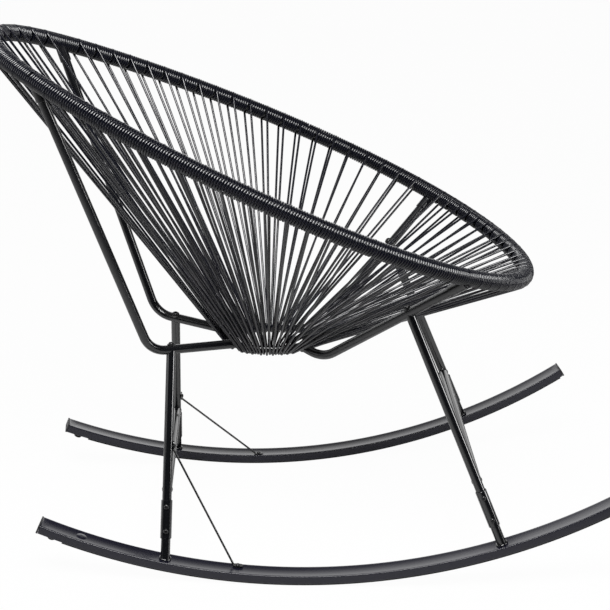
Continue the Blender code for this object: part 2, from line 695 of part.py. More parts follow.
def span_gap(direction, radius, tangent, wound_radius):
    """Return the half width along a wound tube that a tube crossing it keeps free of winding."""
    lean = abs(direction.dot(tangent))
    return (radius + wound_radius * lean) / math.sqrt(1 - lean * lean) + FIT_GAP


def string_spans(hoop, ring, spokes):
    """Return, for each stretch between two spokes, its lengths along the hoop and along the ring."""
    hoop_length, ring_length = hoop.reach[-1], ring.reach[-1]

    def tangent_at(point, turn):
        """Return the direction of a closed centre line at a turn."""
        step = math.pi / HOOP_STATIONS
        return (point(turn + step) - point(turn - step)).normalized()

    def length_at(spine, turn):
        """Return the length along a closed spine's chords at a turn."""
        place = ((turn - math.pi) / (2 * math.pi) % 1) * (len(spine.reach) - 1)
        k = int(place)
        return spine.reach[k] + (spine.reach[k + 1] - spine.reach[k]) * (place - k)

    marks = {}
    for name, spoke in spokes.items():
        hoop_turn, ring_turn = spoke.turn * spoke.sign, ring_turn_at(spoke.angle * spoke.sign)
        tangent = tangent_at(hoop_point, hoop_turn)
        hoop_gap = span_gap(spoke.upward, SOCKET_RADIUS, tangent, WOUND_HOOP_RADIUS)
        hoop_gap += abs((spoke.top - spoke.on_hoop).dot(tangent))
        tangent = tangent_at(ring_point, ring_turn)
        ring_gap = span_gap(spoke.outward, TUBE_RADIUS, tangent, WOUND_RING_RADIUS) + FIT_GAP
        marks[name] = (length_at(hoop, hoop_turn), hoop_gap, length_at(ring, ring_turn), ring_gap)
    corners = (("rear", "right"), ("front", "right"), ("front", "left"), ("rear", "left"))
    spans = {}
    for k, name in enumerate(("right", "front", "left", "rear")):
        hoop_start, start_gap, ring_start, ring_start_gap = marks[corners[k]]
        hoop_end, end_gap, ring_end, ring_end_gap = marks[corners[(k + 1) % len(corners)]]
        if hoop_end < hoop_start:
            hoop_end += hoop_length
            ring_end += ring_length
        spans[name] = (hoop_start + start_gap, hoop_end - end_gap,
                       ring_start + ring_start_gap, ring_end - ring_end_gap)
    return spans


def make_strings(hoop, ring, spokes, plastic):
    """Make the string panels: pairs of strings with their winding on the hoop and on the ring."""
    strings = []
    for name, (hoop_start, hoop_end, ring_start, ring_end) in string_spans(hoop, ring, spokes).items():
        spacing = STRING_SPACING_FRONT if name == "front" else STRING_SPACING
        panels = PANELS[name]
        each = max(1, round((hoop_end - hoop_start) / spacing / panels))
        hoop_step = (hoop_end - hoop_start) / panels
        ring_step = (ring_end - ring_start) / panels
        for panel in range(panels):
            on_hoop = (hoop_start + hoop_step * panel, hoop_step)
            on_ring = (ring_start + ring_step * panel, ring_step)
            title = "seat_strings_%s_%d" % (name, panel + 1)
            strings += make_panel(title, hoop, ring, on_hoop, on_ring, each, plastic)
    report_strings(strings)


def make_panel(title, hoop, ring, on_hoop, on_ring, each, plastic):
    """Make one panel as a single solid and return the centre lines of its strings."""
    (hoop_low, hoop_step), (ring_low, ring_step) = on_hoop, on_ring
    hoop_cut = (hoop_low + FIT_GAP / 2, hoop_low + hoop_step - FIT_GAP / 2)
    ring_cut = (ring_low + FIT_GAP / 2, ring_low + ring_step - FIT_GAP / 2)
    panel = solid(title, hoop.tube(*hoop_cut, WOUND_HOOP_RADIUS, HOOP_SIDES), plastic,
                  hoop.tube(*hoop_cut, HOOP_TUBE_RADIUS + FIT_GAP, HOOP_SIDES))
    pieces = [solid("turns", ring.tube(*ring_cut, WOUND_RING_RADIUS, RING_SIDES), None,
                    ring.tube(*ring_cut, RING_ROD_RADIUS + FIT_GAP, RING_SIDES))]
    tightest = RING_HALF_WIDTH ** 2 / RING_HALF_LENGTH
    inset = (STRING_DIAMETER / 2 + FIT_GAP) * tightest / (tightest - WOUND_RING_RADIUS)
    lines = []
    for k in range(each):
        hoop_place = hoop_low + hoop_step * (k + 0.5) / each
        share = k / (each - 1) if each > 1 else 0.5
        ring_place = ring_low + inset + (ring_step - 2 * inset) * share
        for start, end in string_ends(hoop.at(hoop_place), ring.at(ring_place)):
            pieces.append(rod("string", start, end, STRING_DIAMETER / 2, sides=STRING_SIDES))
            lines.append((title, start, end))
    combine(panel, pieces, "UNION")
    return lines


def report_strings(strings):
    """Print how many strings there are, their length, and the least gap between panels."""
    total = sum((end - start).length for _, start, end in strings)
    least = 1.0
    samples = [k / 12 for k in range(13)]
    rows = [(title, [start.lerp(end, share) for share in samples]) for title, start, end in strings]
    for i, (title, row) in enumerate(rows):
        for other, others in rows[i + 1:]:
            if other != title:
                least = min(least, min((a - b).length for a, b in zip(row, others)))
    print("strings %d, %.2f m in all, least gap between panels %.2f mm"
          % (len(strings), total, (least - STRING_DIAMETER) * 1000))


def stand_on_floor():
    """Move the whole chair so that its box stands on the origin, through one parent."""
    parts = [item for item in bpy.context.scene.objects if item.type == "MESH"]
    points = [vertex.co for part in parts for vertex in part.data.vertices]
    low_x = min(point.x for point in points)
    high_x = max(point.x for point in points)
    root = bpy.data.objects.new("chair", None)
    bpy.context.scene.collection.objects.link(root)
    root.location = (-(low_x + high_x) / 2, 0, -min(point.z for point in points))
    for part in parts:
        part.parent = root
    print("contact point at x = %.4f m" % root.location.x)


def main():
    """Build the chair."""
    clear_scene()
    paint = finish("gloss_black_coat", (0.012, 0.012, 0.013), 0.22, 0.0)
    satin = finish("satin_black_coat", (0.020, 0.020, 0.022), 0.38, 0.0)
    plastic = finish("black_string", (0.016, 0.017, 0.019), 0.42, 0.0)
    cap_plastic = finish("black_plastic", (0.018, 0.018, 0.019), 0.55, 0.0)
    rubber = finish("black_rubber", (0.014, 0.014, 0.014), 0.8, 0.0)
    steel = finish("black_bolt_steel", (0.02, 0.02, 0.021), 0.3, 0.0)

    hoop, ring = hoop_spine(), ring_spine()
    seam = (FIT_GAP / 2, hoop.reach[-1] - FIT_GAP / 2)
    solid("rim_tube", hoop.tube(*seam, HOOP_TUBE_RADIUS, HOOP_SIDES), paint,
          hoop.tube(*seam, HOOP_TUBE_RADIUS - HOOP_TUBE_WALL, HOOP_SIDES))
    rod_rings = [circle(*row, RING_ROD_RADIUS, RING_SIDES) for row in ring.stations]
    solid("seat_ring", rod_rings, paint, closed=True)

    rockers = {side: Rocker(side) for side in SIDES}
    spokes = {(end, side): Spoke(end, side) for end in ENDS for side in SIDES}
    legs = {key: Leg(*key, spoke, rockers[key[1]]) for key, spoke in spokes.items()}
    for (end, side), leg in legs.items():
        make_leg(leg, BRACE_ON_LEG[side] if end == "rear" else None, paint, steel)
        make_spoke(end, side, spokes[end, side], leg, ring, hoop, paint)
    for end in ENDS:
        make_stretcher(end, legs[end, "left"], legs[end, "right"], paint)
    for side, rocker in rockers.items():
        tube = make_rocker(side, rocker, [legs[end, side] for end in ENDS], satin)
        make_rocker_trim(side, rocker, cap_plastic, rubber)
        hole = make_brace(side, legs["rear", side], rocker, paint, steel)
        combine(tube, [hole], "DIFFERENCE")
    make_strings(hoop, ring, spokes, plastic)
    stand_on_floor()


main()
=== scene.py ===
"""Looks of the string rocking chair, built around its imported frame.

Every visible piece is modelled here in full: bent tubes with their sockets and bolts, legs with sleeves,
box tube rockers with caps and rubber, thin braces, and the string that is wound round the hoop and
stretched to the seat ring. Metres, +Z up, the chair faces +X and its left side is +Y.
"""
from __future__ import annotations

import json
import logging
import math
from dataclasses import dataclass, field
from enum import Enum
from typing import Callable

import bmesh
import bpy
from mathutils import Matrix, Vector

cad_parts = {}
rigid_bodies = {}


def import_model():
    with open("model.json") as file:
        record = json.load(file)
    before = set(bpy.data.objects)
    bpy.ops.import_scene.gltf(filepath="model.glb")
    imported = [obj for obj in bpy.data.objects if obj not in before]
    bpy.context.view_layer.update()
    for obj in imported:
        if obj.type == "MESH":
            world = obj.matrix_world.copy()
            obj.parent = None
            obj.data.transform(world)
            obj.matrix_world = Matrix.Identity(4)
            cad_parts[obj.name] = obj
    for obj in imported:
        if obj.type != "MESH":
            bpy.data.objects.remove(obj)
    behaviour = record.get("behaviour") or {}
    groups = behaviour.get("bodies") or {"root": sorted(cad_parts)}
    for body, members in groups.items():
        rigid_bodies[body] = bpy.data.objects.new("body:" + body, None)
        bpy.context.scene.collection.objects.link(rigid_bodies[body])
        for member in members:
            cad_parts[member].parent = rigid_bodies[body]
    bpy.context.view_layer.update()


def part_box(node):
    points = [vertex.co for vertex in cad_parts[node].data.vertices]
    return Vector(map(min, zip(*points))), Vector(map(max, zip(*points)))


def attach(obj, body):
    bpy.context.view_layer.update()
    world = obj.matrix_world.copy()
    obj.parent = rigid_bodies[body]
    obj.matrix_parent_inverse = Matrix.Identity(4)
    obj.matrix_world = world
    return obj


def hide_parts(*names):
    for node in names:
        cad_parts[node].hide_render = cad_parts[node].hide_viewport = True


LOG = logging.getLogger("rocking_chair")
AHEAD = Vector((1.0, 0.0, 0.0))
UP = Vector((0.0, 0.0, 1.0))
STEEP = 0.9
HALVINGS = 50
SMOOTH_ANGLE = 35.0
SHARP_ANGLE = 40.0
TUBE_ANGLE = 70.0
ANY_ANGLE = 180.0
MOUTH_DEPTH = 0.004
Piece = bpy.types.Object
Couple = tuple[float, float]
Triple = tuple[float, float, float]
Four = tuple[float, float, float, float]
Profile = list[Couple]


class End(Enum):
    """The two ends of the chair."""

    REAR = "rear"
    FRONT = "front"


class Side(Enum):
    """The two sides of the chair, with the sign of Y."""

    LEFT = 1.0
    RIGHT = -1.0

    @property
    def word(self) -> str:
        """The side's name in the frame's nodes."""
        return self.name.lower()


class Signal:
    """An output of a node that takes part in Python expressions."""

    def __init__(self, graph: Graph, socket: bpy.types.NodeSocket) -> None:
        """Keep the socket and the graph that new nodes go into."""
        self.graph = graph
        self.socket = socket

    def _math(self, operation: str, first: Signal | float, second: Signal | float) -> Signal:
        """Return the result of a new Math node on two values or signals."""
        node = self.graph.node("ShaderNodeMath", {"operation": operation}, {0: first, 1: second})
        return self.graph.out(node)

    def __add__(self, other: Signal | float) -> Signal:
        """self + other."""
        return self._math("ADD", self, other)

    def __radd__(self, other: float) -> Signal:
        """other + self."""
        return self._math("ADD", other, self)

    def __sub__(self, other: Signal | float) -> Signal:
        """self - other."""
        return self._math("SUBTRACT", self, other)

    def __rsub__(self, other: float) -> Signal:
        """other - self."""
        return self._math("SUBTRACT", other, self)

    def __mul__(self, other: Signal | float) -> Signal:
        """self * other."""
        return self._math("MULTIPLY", self, other)


class Graph:
    """The node tree of one material or of the world."""

    def __init__(self, owner: bpy.types.Material | bpy.types.World) -> None:
        """Empty a node tree.

        Args:
            owner: the material or the world that it belongs to.
        """
        owner.use_nodes = True
        self.tree = owner.node_tree
        self.tree.nodes.clear()

    def node(self, kind: str, settings: dict | None = None, inputs: dict | None = None) -> bpy.types.Node:
        """Make a node.

        Args:
            kind: the node's type.
            settings: its own settings, set first.
            inputs: values or signals of its sockets, by name or number.

        Returns:
            The new node.
        """
        made = self.tree.nodes.new(kind)
        for key, value in (settings or {}).items():
            setattr(made, key, value)
        for key, value in (inputs or {}).items():
            if isinstance(value, Signal):
                self.tree.links.new(value.socket, made.inputs[key])
            else:
                made.inputs[key].default_value = value
        return made

    def out(self, node: bpy.types.Node, name: str | int = 0) -> Signal:
        """Return a node's output as a signal."""
        return Signal(self, node.outputs[name])

    def noise(self, scale: float, octaves: float = 2.0) -> Signal:
        """Return noise of so many waves per metre over the piece's own coordinates, one half on average."""
        inputs = {"Vector": self.place("Object"), "Scale": scale, "Detail": octaves}
        return self.out(self.node("ShaderNodeTexNoise", None, inputs))

    def place(self, kind: str) -> Signal:
        """Return coordinates of a named kind."""
        return self.out(self.node("ShaderNodeTexCoord"), kind)

    def blend(self, share: Signal, first: tuple, second: tuple) -> Signal:
        """Return a colour between two colours: the first at share 0, the second at share 1."""
        made = self.node("ShaderNodeMix", {"data_type": "RGBA"}, {0: share, 6: (*first, 1), 7: (*second, 1)})
        return self.out(made, 2)

    def fade(self, value: Signal, edges: Couple, start: float = 0.0, end: float = 1.0) -> Signal:
        """Return a level that goes smoothly from start to end while the value goes between two edges."""
        inputs = {"Value": value, "From Min": edges[0], "From Max": edges[1], "To Min": start, "To Max": end}
        return self.out(self.node("ShaderNodeMapRange", {"interpolation_type": "SMOOTHSTEP"}, inputs))


@dataclass(frozen=True)
class Finish:
    """One surface: colour, gloss and the fine relief of the real coat or plastic."""

    name: str
    slot: str
    dark: Triple
    light: Triple
    roughness: float
    spread: float
    specular: float
    relief_scale: float
    relief_height: float
    cloud_scale: float = 9.0
    cloud_octaves: float = 4.0
    speck_scale: float = 0.35
    speck_spread: float = 0.7
    speck_share: float = 0.3
    bump_strength: float = 0.35

    def material(self) -> bpy.types.Material:
        """Make the finish into a node material, once.

        Returns:
            The material.
        """
        found = bpy.data.materials.get(self.name)
        if found:
            return found
        made = bpy.data.materials.new(self.name)
        graph = Graph(made)
        cloud = graph.noise(self.cloud_scale, self.cloud_octaves)
        speck = graph.noise(self.relief_scale * self.speck_scale)
        rough = self.roughness + (cloud - 0.5) * self.spread
        rough = rough + (speck - 0.5) * (self.spread * self.speck_spread)
        tone = cloud * (1.0 - self.speck_share) + speck * self.speck_share
        bump = graph.node("ShaderNodeBump", None, {
            "Strength": self.bump_strength, "Distance": self.relief_height,
            "Height": graph.noise(self.relief_scale)})
        shader = graph.node("ShaderNodeBsdfPrincipled", None, {
            "Base Color": graph.blend(tone, self.dark, self.light), "Roughness": rough,
            "Specular IOR Level": self.specular, "Normal": graph.out(bump)})
        graph.node("ShaderNodeOutputMaterial", None, {"Surface": graph.out(shader)})
        return made


class Coat(Enum):
    """The finishes of the chair."""

    TUBE = Finish("satin_black_tube", "frame_paint", (0.0022, 0.0023, 0.0032), (0.0040, 0.0042, 0.0056),
                  0.20, 0.06, 0.7, 900.0, 0.00006)
    LEG = Finish("gloss_black_leg", "frame_paint", (0.0018, 0.0020, 0.0026), (0.0032, 0.0035, 0.0044),
                 0.12, 0.04, 0.8, 700.0, 0.00004)
    ROCKER = Finish("satin_black_rocker", "rocker_paint", (0.0042, 0.0041, 0.0088), (0.0068, 0.0066, 0.0132),
                    0.22, 0.07, 0.42, 1100.0, 0.00006)
    STRING = Finish("black_plastic_string", "seat_string", (0.0018, 0.0020, 0.0042), (0.0036, 0.0039, 0.0072),
                    0.18, 0.03, 0.5, 1500.0, 0.000006, cloud_scale=60.0)
    CAP = Finish("black_plastic_cap", "end_cap", (0.008, 0.008, 0.009), (0.013, 0.013, 0.0142),
                 0.5, 0.12, 0.45, 1600.0, 0.0002)
    RUBBER = Finish("black_rubber", "floor_rubber", (0.007, 0.007, 0.0072), (0.012, 0.012, 0.0124),
                    0.75, 0.12, 0.4, 1400.0, 0.0003)
    BOLT = Finish("black_bolt_steel", "black_bolt", (0.006, 0.006, 0.0065), (0.011, 0.011, 0.0118),
                  0.22, 0.08, 0.5, 1300.0, 0.0001)
    SCREW = Finish("black_screw_steel", "steel_screw", (0.010, 0.010, 0.011), (0.018, 0.018, 0.019),
                   0.30, 0.10, 0.5, 1300.0, 0.0001)


def table(values: dict) -> dict:
    """Return a dataclass field that holds its own copy of a table of values."""
    return field(default_factory=lambda: dict(values))


def bisect(is_below: Callable[[float], bool], low: float, high: float) -> float:
    """Find where a test stops being true.

    Args:
        is_below: the test.
        low: a value where it is true.
        high: a value where it isn't.

    Returns:
        The value between them.
    """
    for _ in range(HALVINGS):
        middle = (low + high) / 2
        if is_below(middle):
            low = middle
        else:
            high = middle
    return (low + high) / 2


def basis(centre: Vector, direction: Vector, guide: Vector | None = None) -> Matrix:
    """Return the place of a piece that is modelled along +Z.

    Args:
        centre: where its origin goes.
        direction: where its +Z points.
        guide: where its +X points, as near as it can.

    Returns:
        The 4 by 4 matrix.
    """
    axis = direction.normalized()
    if guide is None:
        guide = UP if abs(axis.z) < STEEP else AHEAD
    first = (guide - axis * guide.dot(axis)).normalized()
    second = axis.cross(first)
    return Matrix.Translation(centre) @ Matrix((first, second, axis)).transposed().to_4x4()


def mouth(inner: float, outer: float, bevels: Four) -> Profile:
    """Return the profile of a tube's mouth at height 0, from a little way inside to the outer face.

    Args:
        inner: the inner radius.
        outer: the outer radius.
        bevels: the height and width of the inner bevel, then the width and height of the outer one.

    Returns:
        Pairs of radius and height.
    """
    inner_height, inner_width, outer_width, outer_height = bevels
    inside = [(inner, MOUTH_DEPTH), (inner, inner_height), (inner + inner_width, 0.0)]
    return [*inside, (outer - outer_width, 0.0), (outer, outer_height)]


class Bench:
    """The modelling moves that the pieces are made with."""

    @staticmethod
    def clear() -> None:
        """Leave edit mode and deselect everything."""
        if bpy.context.object and bpy.context.object.mode != "OBJECT":
            bpy.ops.object.mode_set(mode="OBJECT")
        bpy.ops.object.select_all(action="DESELECT")

    @staticmethod
    def pick(*pieces: Piece) -> None:
        """Leave edit mode and select nothing but some pieces.

        Args:
            pieces: the objects; the first becomes the active one.
        """
        Bench.clear()
        for piece in pieces:
            piece.select_set(True)
        bpy.context.view_layer.objects.active = pieces[0]

    @staticmethod
    def _edit(name: str) -> None:
        """Open the new primitive in edit mode, selected all over.

        Args:
            name: the piece's name.
        """
        bpy.context.object.name = name
        bpy.context.object.data.name = name
        bpy.ops.object.mode_set(mode="EDIT")
        bpy.ops.mesh.select_all(action="SELECT")

    @staticmethod
    def ring(name: str, place: Matrix, radius: float, sides: int = 32) -> None:
        """Start a piece from a circle and stay in edit mode.

        Args:
            name: the piece's name.
            place: the circle's centre, with its normal along +Z.
            radius: the circle's radius.
            sides: its corners.
        """
        Bench.clear()
        bpy.ops.mesh.primitive_circle_add(vertices=sides, radius=radius, location=place.to_translation(),
                                          rotation=place.to_euler())
        Bench._edit(name)

    @staticmethod
    def frame(name: str, place: Matrix, width: float, height: float, corner: float, steps: int = 4) -> None:
        """Start a piece from the outline of a rounded rectangle and stay in edit mode.

        Args:
            name: the piece's name.
            place: the outline's centre, with its normal along +Z and its width along +X.
            width: its size along +X.
            height: its size along +Y.
            corner: the radius of its corners.
            steps: the segments of a corner.
        """
        Bench.clear()
        bpy.ops.mesh.primitive_plane_add(size=1.0)
        Bench._edit(name)
        bpy.ops.transform.resize(value=(width, height, 1.0))
        bpy.ops.mesh.bevel(offset=corner, segments=steps, affect="VERTICES")
        bpy.ops.mesh.select_all(action="SELECT")
        bpy.ops.mesh.delete(type="ONLY_FACE")
        bpy.ops.object.mode_set(mode="OBJECT")
        bpy.context.object.matrix_world = place
        bpy.ops.object.mode_set(mode="EDIT")
        bpy.ops.mesh.select_all(action="SELECT")

    @staticmethod
    def push(offset: Vector) -> None:
        """Extrude what is selected by an offset."""
        bpy.ops.mesh.extrude_region_move(TRANSFORM_OT_translate={"value": offset})

    @staticmethod
    def scale(factor: float, centre: Vector) -> None:
        """Scale what is selected about a centre."""
        bpy.ops.transform.resize(value=(factor, factor, factor), center_override=centre)

    @staticmethod
    def sweep(angle: float, centre: Vector, axis: Vector, steps: int) -> None:
        """Spin what is selected about an axis through a centre, by the right-hand rule."""
        bpy.ops.mesh.spin(steps=steps, angle=-angle, center=centre, axis=axis)

    @staticmethod
    def seal() -> None:
        """Close the open ends and turn the faces outwards."""
        bpy.ops.mesh.select_all(action="SELECT")
        bpy.ops.mesh.fill_holes(sides=0)
        bpy.ops.mesh.select_all(action="SELECT")
        bpy.ops.mesh.normals_make_consistent(inside=False)

    @staticmethod
    def done(angle: float = SMOOTH_ANGLE) -> Piece:
        """Leave edit mode, put the place into the mesh and smooth the gentle edges.

        Args:
            angle: edges below this many degrees are smooth.

        Returns:
            The finished object.
        """
        made = bpy.context.object
        Bench.pick(made)
        bpy.ops.object.transform_apply(location=True, rotation=True, scale=True)
        bpy.ops.object.shade_smooth_by_angle(angle=math.radians(angle))
        return made

    @staticmethod
    def smooth(piece: Piece, angle: float = SMOOTH_ANGLE) -> None:
        """Smooth the edges of a finished piece that are below an angle in degrees."""
        Bench.pick(piece)
        bpy.ops.object.shade_smooth_by_angle(angle=math.radians(angle))

    @staticmethod
    def modify(piece: Piece, kind: str, **settings: object) -> None:
        """Add a modifier to a piece and apply it.

        Args:
            piece: the object.
            kind: the modifier's type.
            settings: the modifier's settings.
        """
        Bench.pick(piece)
        step = piece.modifiers.new("step", kind)
        for key, value in settings.items():
            setattr(step, key, value)
        bpy.ops.object.modifier_apply(modifier=step.name)

    @staticmethod
    def soften(piece: Piece, width: float, segments: int) -> None:
        """Round the sharp edges of a piece by a width in so many segments."""
        Bench.modify(piece, "BEVEL", width=width, segments=segments, limit_method="ANGLE",
                     angle_limit=math.radians(SHARP_ANGLE))
        Bench.smooth(piece)

    @staticmethod
    def cut(piece: Piece, cutter: Piece) -> None:
        """Cut one piece out of another.

        Args:
            piece: the object that is cut.
            cutter: the object that is cut out of it, and removed.
        """
        Bench.modify(piece, "BOOLEAN", operation="DIFFERENCE", solver="EXACT", object=cutter)
        bpy.data.objects.remove(cutter, do_unlink=True)
        Bench.smooth(piece)

    @staticmethod
    def join(*pieces: Piece) -> Piece:
        """Join pieces into the first one.

        Args:
            pieces: the objects, the kept one first.

        Returns:
            The joined object.
        """
        Bench.pick(*pieces)
        bpy.ops.object.join()
        return pieces[0]

    @staticmethod
    def copy(master: Piece, name: str, place: Matrix) -> Piece:
        """Copy a piece that was modelled at the origin.

        Args:
            master: the piece.
            name: the copy's name.
            place: where the copy goes.

        Returns:
            The copy, with its own mesh.
        """
        made = master.copy()
        made.data = master.data.copy()
        made.name = name
        made.data.name = name
        made.data.transform(place)
        bpy.context.scene.collection.objects.link(made)
        return made

    @staticmethod
    def turn(name: str, place: Matrix, profile: Profile, sides: int = 32) -> Piece:
        """Make a turned piece by extruding and scaling a circle.

        Args:
            name: the piece's name.
            place: its foot, with its axis along +Z.
            profile: pairs of radius and height.
            sides: the corners of its outline.

        Returns:
            The closed piece.
        """
        foot, axis = place.to_translation(), place.to_3x3() @ UP
        Bench.ring(name, Matrix.Translation(axis * profile[0][1]) @ place, profile[0][0], sides)
        for (radius, height), (next_radius, next_height) in zip(profile, profile[1:]):
            Bench.push(axis * (next_height - height))
            Bench.scale(next_radius / radius, foot + axis * next_height)
        Bench.seal()
        return Bench.done()

    @staticmethod
    def pipe(name: str, start: Vector, end: Vector, radius: float, sides: int = 32) -> Piece:
        """Make a straight closed tube.

        Args:
            name: the piece's name.
            start: the middle of one end.
            end: the middle of the other.
            radius: its radius.
            sides: the corners of its outline.

        Returns:
            The piece.
        """
        Bench.ring(name, basis(start, end - start), radius, sides)
        Bench.push(end - start)
        Bench.seal()
        return Bench.done()

    @staticmethod
    def slab(name: str, place: Matrix, size: Triple, corner: tuple[float, int],
             rounding: tuple[float, int]) -> Piece:
        """Make a plate with rounded corners and softened edges.

        Args:
            name: the piece's name.
            place: the middle of its lower face, with its normal along +Z and its width along +X.
            size: its width, height and thickness.
            corner: the radius and the segments of its corners.
            rounding: the width and the segments of its edges' rounding.

        Returns:
            The piece.
        """
        width, height, thickness = size
        Bench.frame(name, place, width, height, *corner)
        Bench.push(place.to_3x3() @ UP * thickness)
        Bench.seal()
        made = Bench.done()
        Bench.soften(made, *rounding)
        return made

    @staticmethod
    def follow(name: str, points: list[Vector], radius: float, fineness: int, closed: bool = False) -> Piece:
        """Make a round string or tube that follows a line of points.

        Args:
            name: the piece's name.
            points: the middle line.
            radius: its radius.
            fineness: 0 gives a square section, and each step adds two sides.
            closed: whether the line runs back to its start.

        Returns:
            The piece as a mesh.
        """
        line = bpy.data.curves.new(name, "CURVE")
        line.dimensions = "3D"
        line.bevel_depth = radius
        line.bevel_resolution = fineness
        line.use_fill_caps = not closed
        spline = line.splines.new("POLY")
        spline.points.add(len(points) - 1)
        for knot, point in zip(spline.points, points):
            knot.co = (*point, 1.0)
        spline.use_cyclic_u = closed
        made = bpy.data.objects.new(name, line)
        bpy.context.scene.collection.objects.link(made)
        Bench.pick(made)
        bpy.ops.object.convert(target="MESH")
        made = bpy.context.object
        bpy.ops.object.shade_smooth_by_angle(angle=math.radians(TUBE_ANGLE))
        return made

    @staticmethod
    def bead(place: Matrix, radius: float, thickness: float) -> Piece:
        """Make a weld bead with the ripples of its runs.

        Args:
            place: its middle, with its axis along +Z.
            radius: the radius of the seam.
            thickness: the radius of the bead.

        Returns:
            The piece.
        """
        rounds, around, ripple = 36, 8, 0.28
        Bench.clear()
        bpy.ops.mesh.primitive_torus_add(major_segments=rounds, minor_segments=around, major_radius=radius,
                                         minor_radius=thickness, location=place.to_translation(),
                                         rotation=place.to_euler())
        Bench._edit("weld")
        mesh = bmesh.from_edit_mesh(bpy.context.object.data)
        for vertex in mesh.verts:
            vertex.select_set((vertex.index // around) % 2 == 0)
        mesh.select_flush_mode()
        bpy.ops.transform.shrink_fatten(value=thickness * ripple)
        piece = Bench.done(ANY_ANGLE)
        Bench.modify(piece, "SUBSURF", levels=1, render_levels=1)
        Bench.smooth(piece, ANY_ANGLE)
        return piece


def dress(piece: Piece, coat: Coat, *nodes: str) -> None:
    """Give a finished piece its finish and its place in the frame.

    Args:
        piece: the object.
        coat: its finish.
        nodes: the frame's nodes that it stands for.
    """
    piece.data.materials.clear()
    piece.data.materials.append(coat.value.material())
    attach(piece, "root")
    if nodes:
        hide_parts(*nodes)
    LOG.info("%s: %d faces, %s", piece.name, len(piece.data.polygons), coat.value.name)


@dataclass
class Loop:
    """A closed middle line of round stock, measured from its back round by the right side."""

    shift: Vector
    stock_radius: float = 0.0
    knots: int = 0
    fineness: int = 0
    samples: int = 1440
    reach: list[float] = field(default_factory=list)

    def __post_init__(self) -> None:
        """Measure the line."""
        points = [self.point(math.pi + math.tau * k / self.samples) for k in range(self.samples + 1)]
        self.reach = [0.0]
        for here, there in zip(points, points[1:]):
            self.reach.append(self.reach[-1] + (there - here).length)

    @property
    def normal(self) -> Vector:
        """The upward normal of the line's plane."""
        return UP

    @property
    def length(self) -> float:
        """The length of the middle line."""
        return self.reach[-1]

    def point(self, turn: float) -> Vector:
        """Return a point of the middle line; turn 0 is the front."""
        raise NotImplementedError

    def tangent(self, turn: float) -> Vector:
        """Return the direction of the middle line at a turn."""
        step = math.tau / self.samples
        return (self.point(turn + step) - self.point(turn - step)).normalized()

    def length_at(self, turn: float) -> float:
        """Measure the line up to a turn.

        Args:
            turn: the turn; 0 is the front.

        Returns:
            The length along the line.
        """
        place = ((turn - math.pi) / math.tau % 1) * self.samples
        k = int(place)
        return self.reach[k] + (self.reach[k + 1] - self.reach[k]) * (place - k)

    def station(self, length: float) -> tuple[Vector, Vector, Vector]:
        """Find a place on the line.

        Args:
            length: the length along the line.

        Returns:
            The point, the tangent and the outward direction there.
        """
        length %= self.length
        low, high = 0, self.samples
        while high - low > 1:
            middle = (low + high) // 2
            low, high = (middle, high) if self.reach[middle] <= length else (low, middle)
        share = (length - self.reach[low]) / (self.reach[low + 1] - self.reach[low])
        turn = math.pi + math.tau * (low + share) / self.samples
        tangent = self.tangent(turn)
        return self.point(turn), tangent, tangent.cross(self.normal)

    def around(self, length: float, angle: float, reach: float) -> Vector:
        """Return a point so far from the line at a place; angle 0 is outward, a quarter turn is up."""
        centre, _, outward = self.station(length)
        return centre + outward * (reach * math.cos(angle)) + self.normal * (reach * math.sin(angle))

    def angle_of(self, length: float, direction: Vector) -> float:
        """Return the angle of a direction across the line at a place, counted as around counts it."""
        outward = self.station(length)[2]
        return math.atan2(direction.dot(self.normal), direction.dot(outward)) % math.tau

    def stock(self, name: str) -> Piece:
        """Return the bent stock itself as a piece."""
        points = [self.station(self.length * k / self.knots)[0] for k in range(self.knots)]
        return Bench.follow(name, points, self.stock_radius, self.fineness, closed=True)


@dataclass
class SeatRing(Loop):
    """The small oval ring that the strings are looped round."""

    stock_radius: float = 0.006
    knots: int = 96
    fineness: int = 5
    centre_x: float = -0.0205
    height: float = 0.352
    half_length: float = 0.0735
    half_width: float = 0.058
    weld_radius: float = 0.0011

    @property
    def centre(self) -> Vector:
        """The ring's middle."""
        return Vector((self.centre_x, 0.0, self.height)) + self.shift

    @staticmethod
    def direction(angle: float) -> Vector:
        """Return the level direction at an angle from the front."""
        return Vector((math.cos(angle), math.sin(angle), 0.0))

    def point(self, turn: float) -> Vector:
        """Return a point of the middle line; turn 0 is the front."""
        along, aside = self.half_length * math.cos(turn), self.half_width * math.sin(turn)
        return self.centre + Vector((along, aside, 0.0))

    def turn_at(self, angle: float) -> float:
        """Return the turn that lies at an angle from the front, seen from the middle."""
        return math.atan2(self.half_length * math.sin(angle), self.half_width * math.cos(angle))

    def build(self) -> None:
        """Make the ring with its butt weld."""
        rod = self.stock("seat_ring_rod")
        place, tangent, _ = self.station(0.0)
        weld = Bench.bead(basis(place, tangent), self.stock_radius, self.weld_radius)
        dress(Bench.join(rod, weld), Coat.TUBE, "seat_ring")


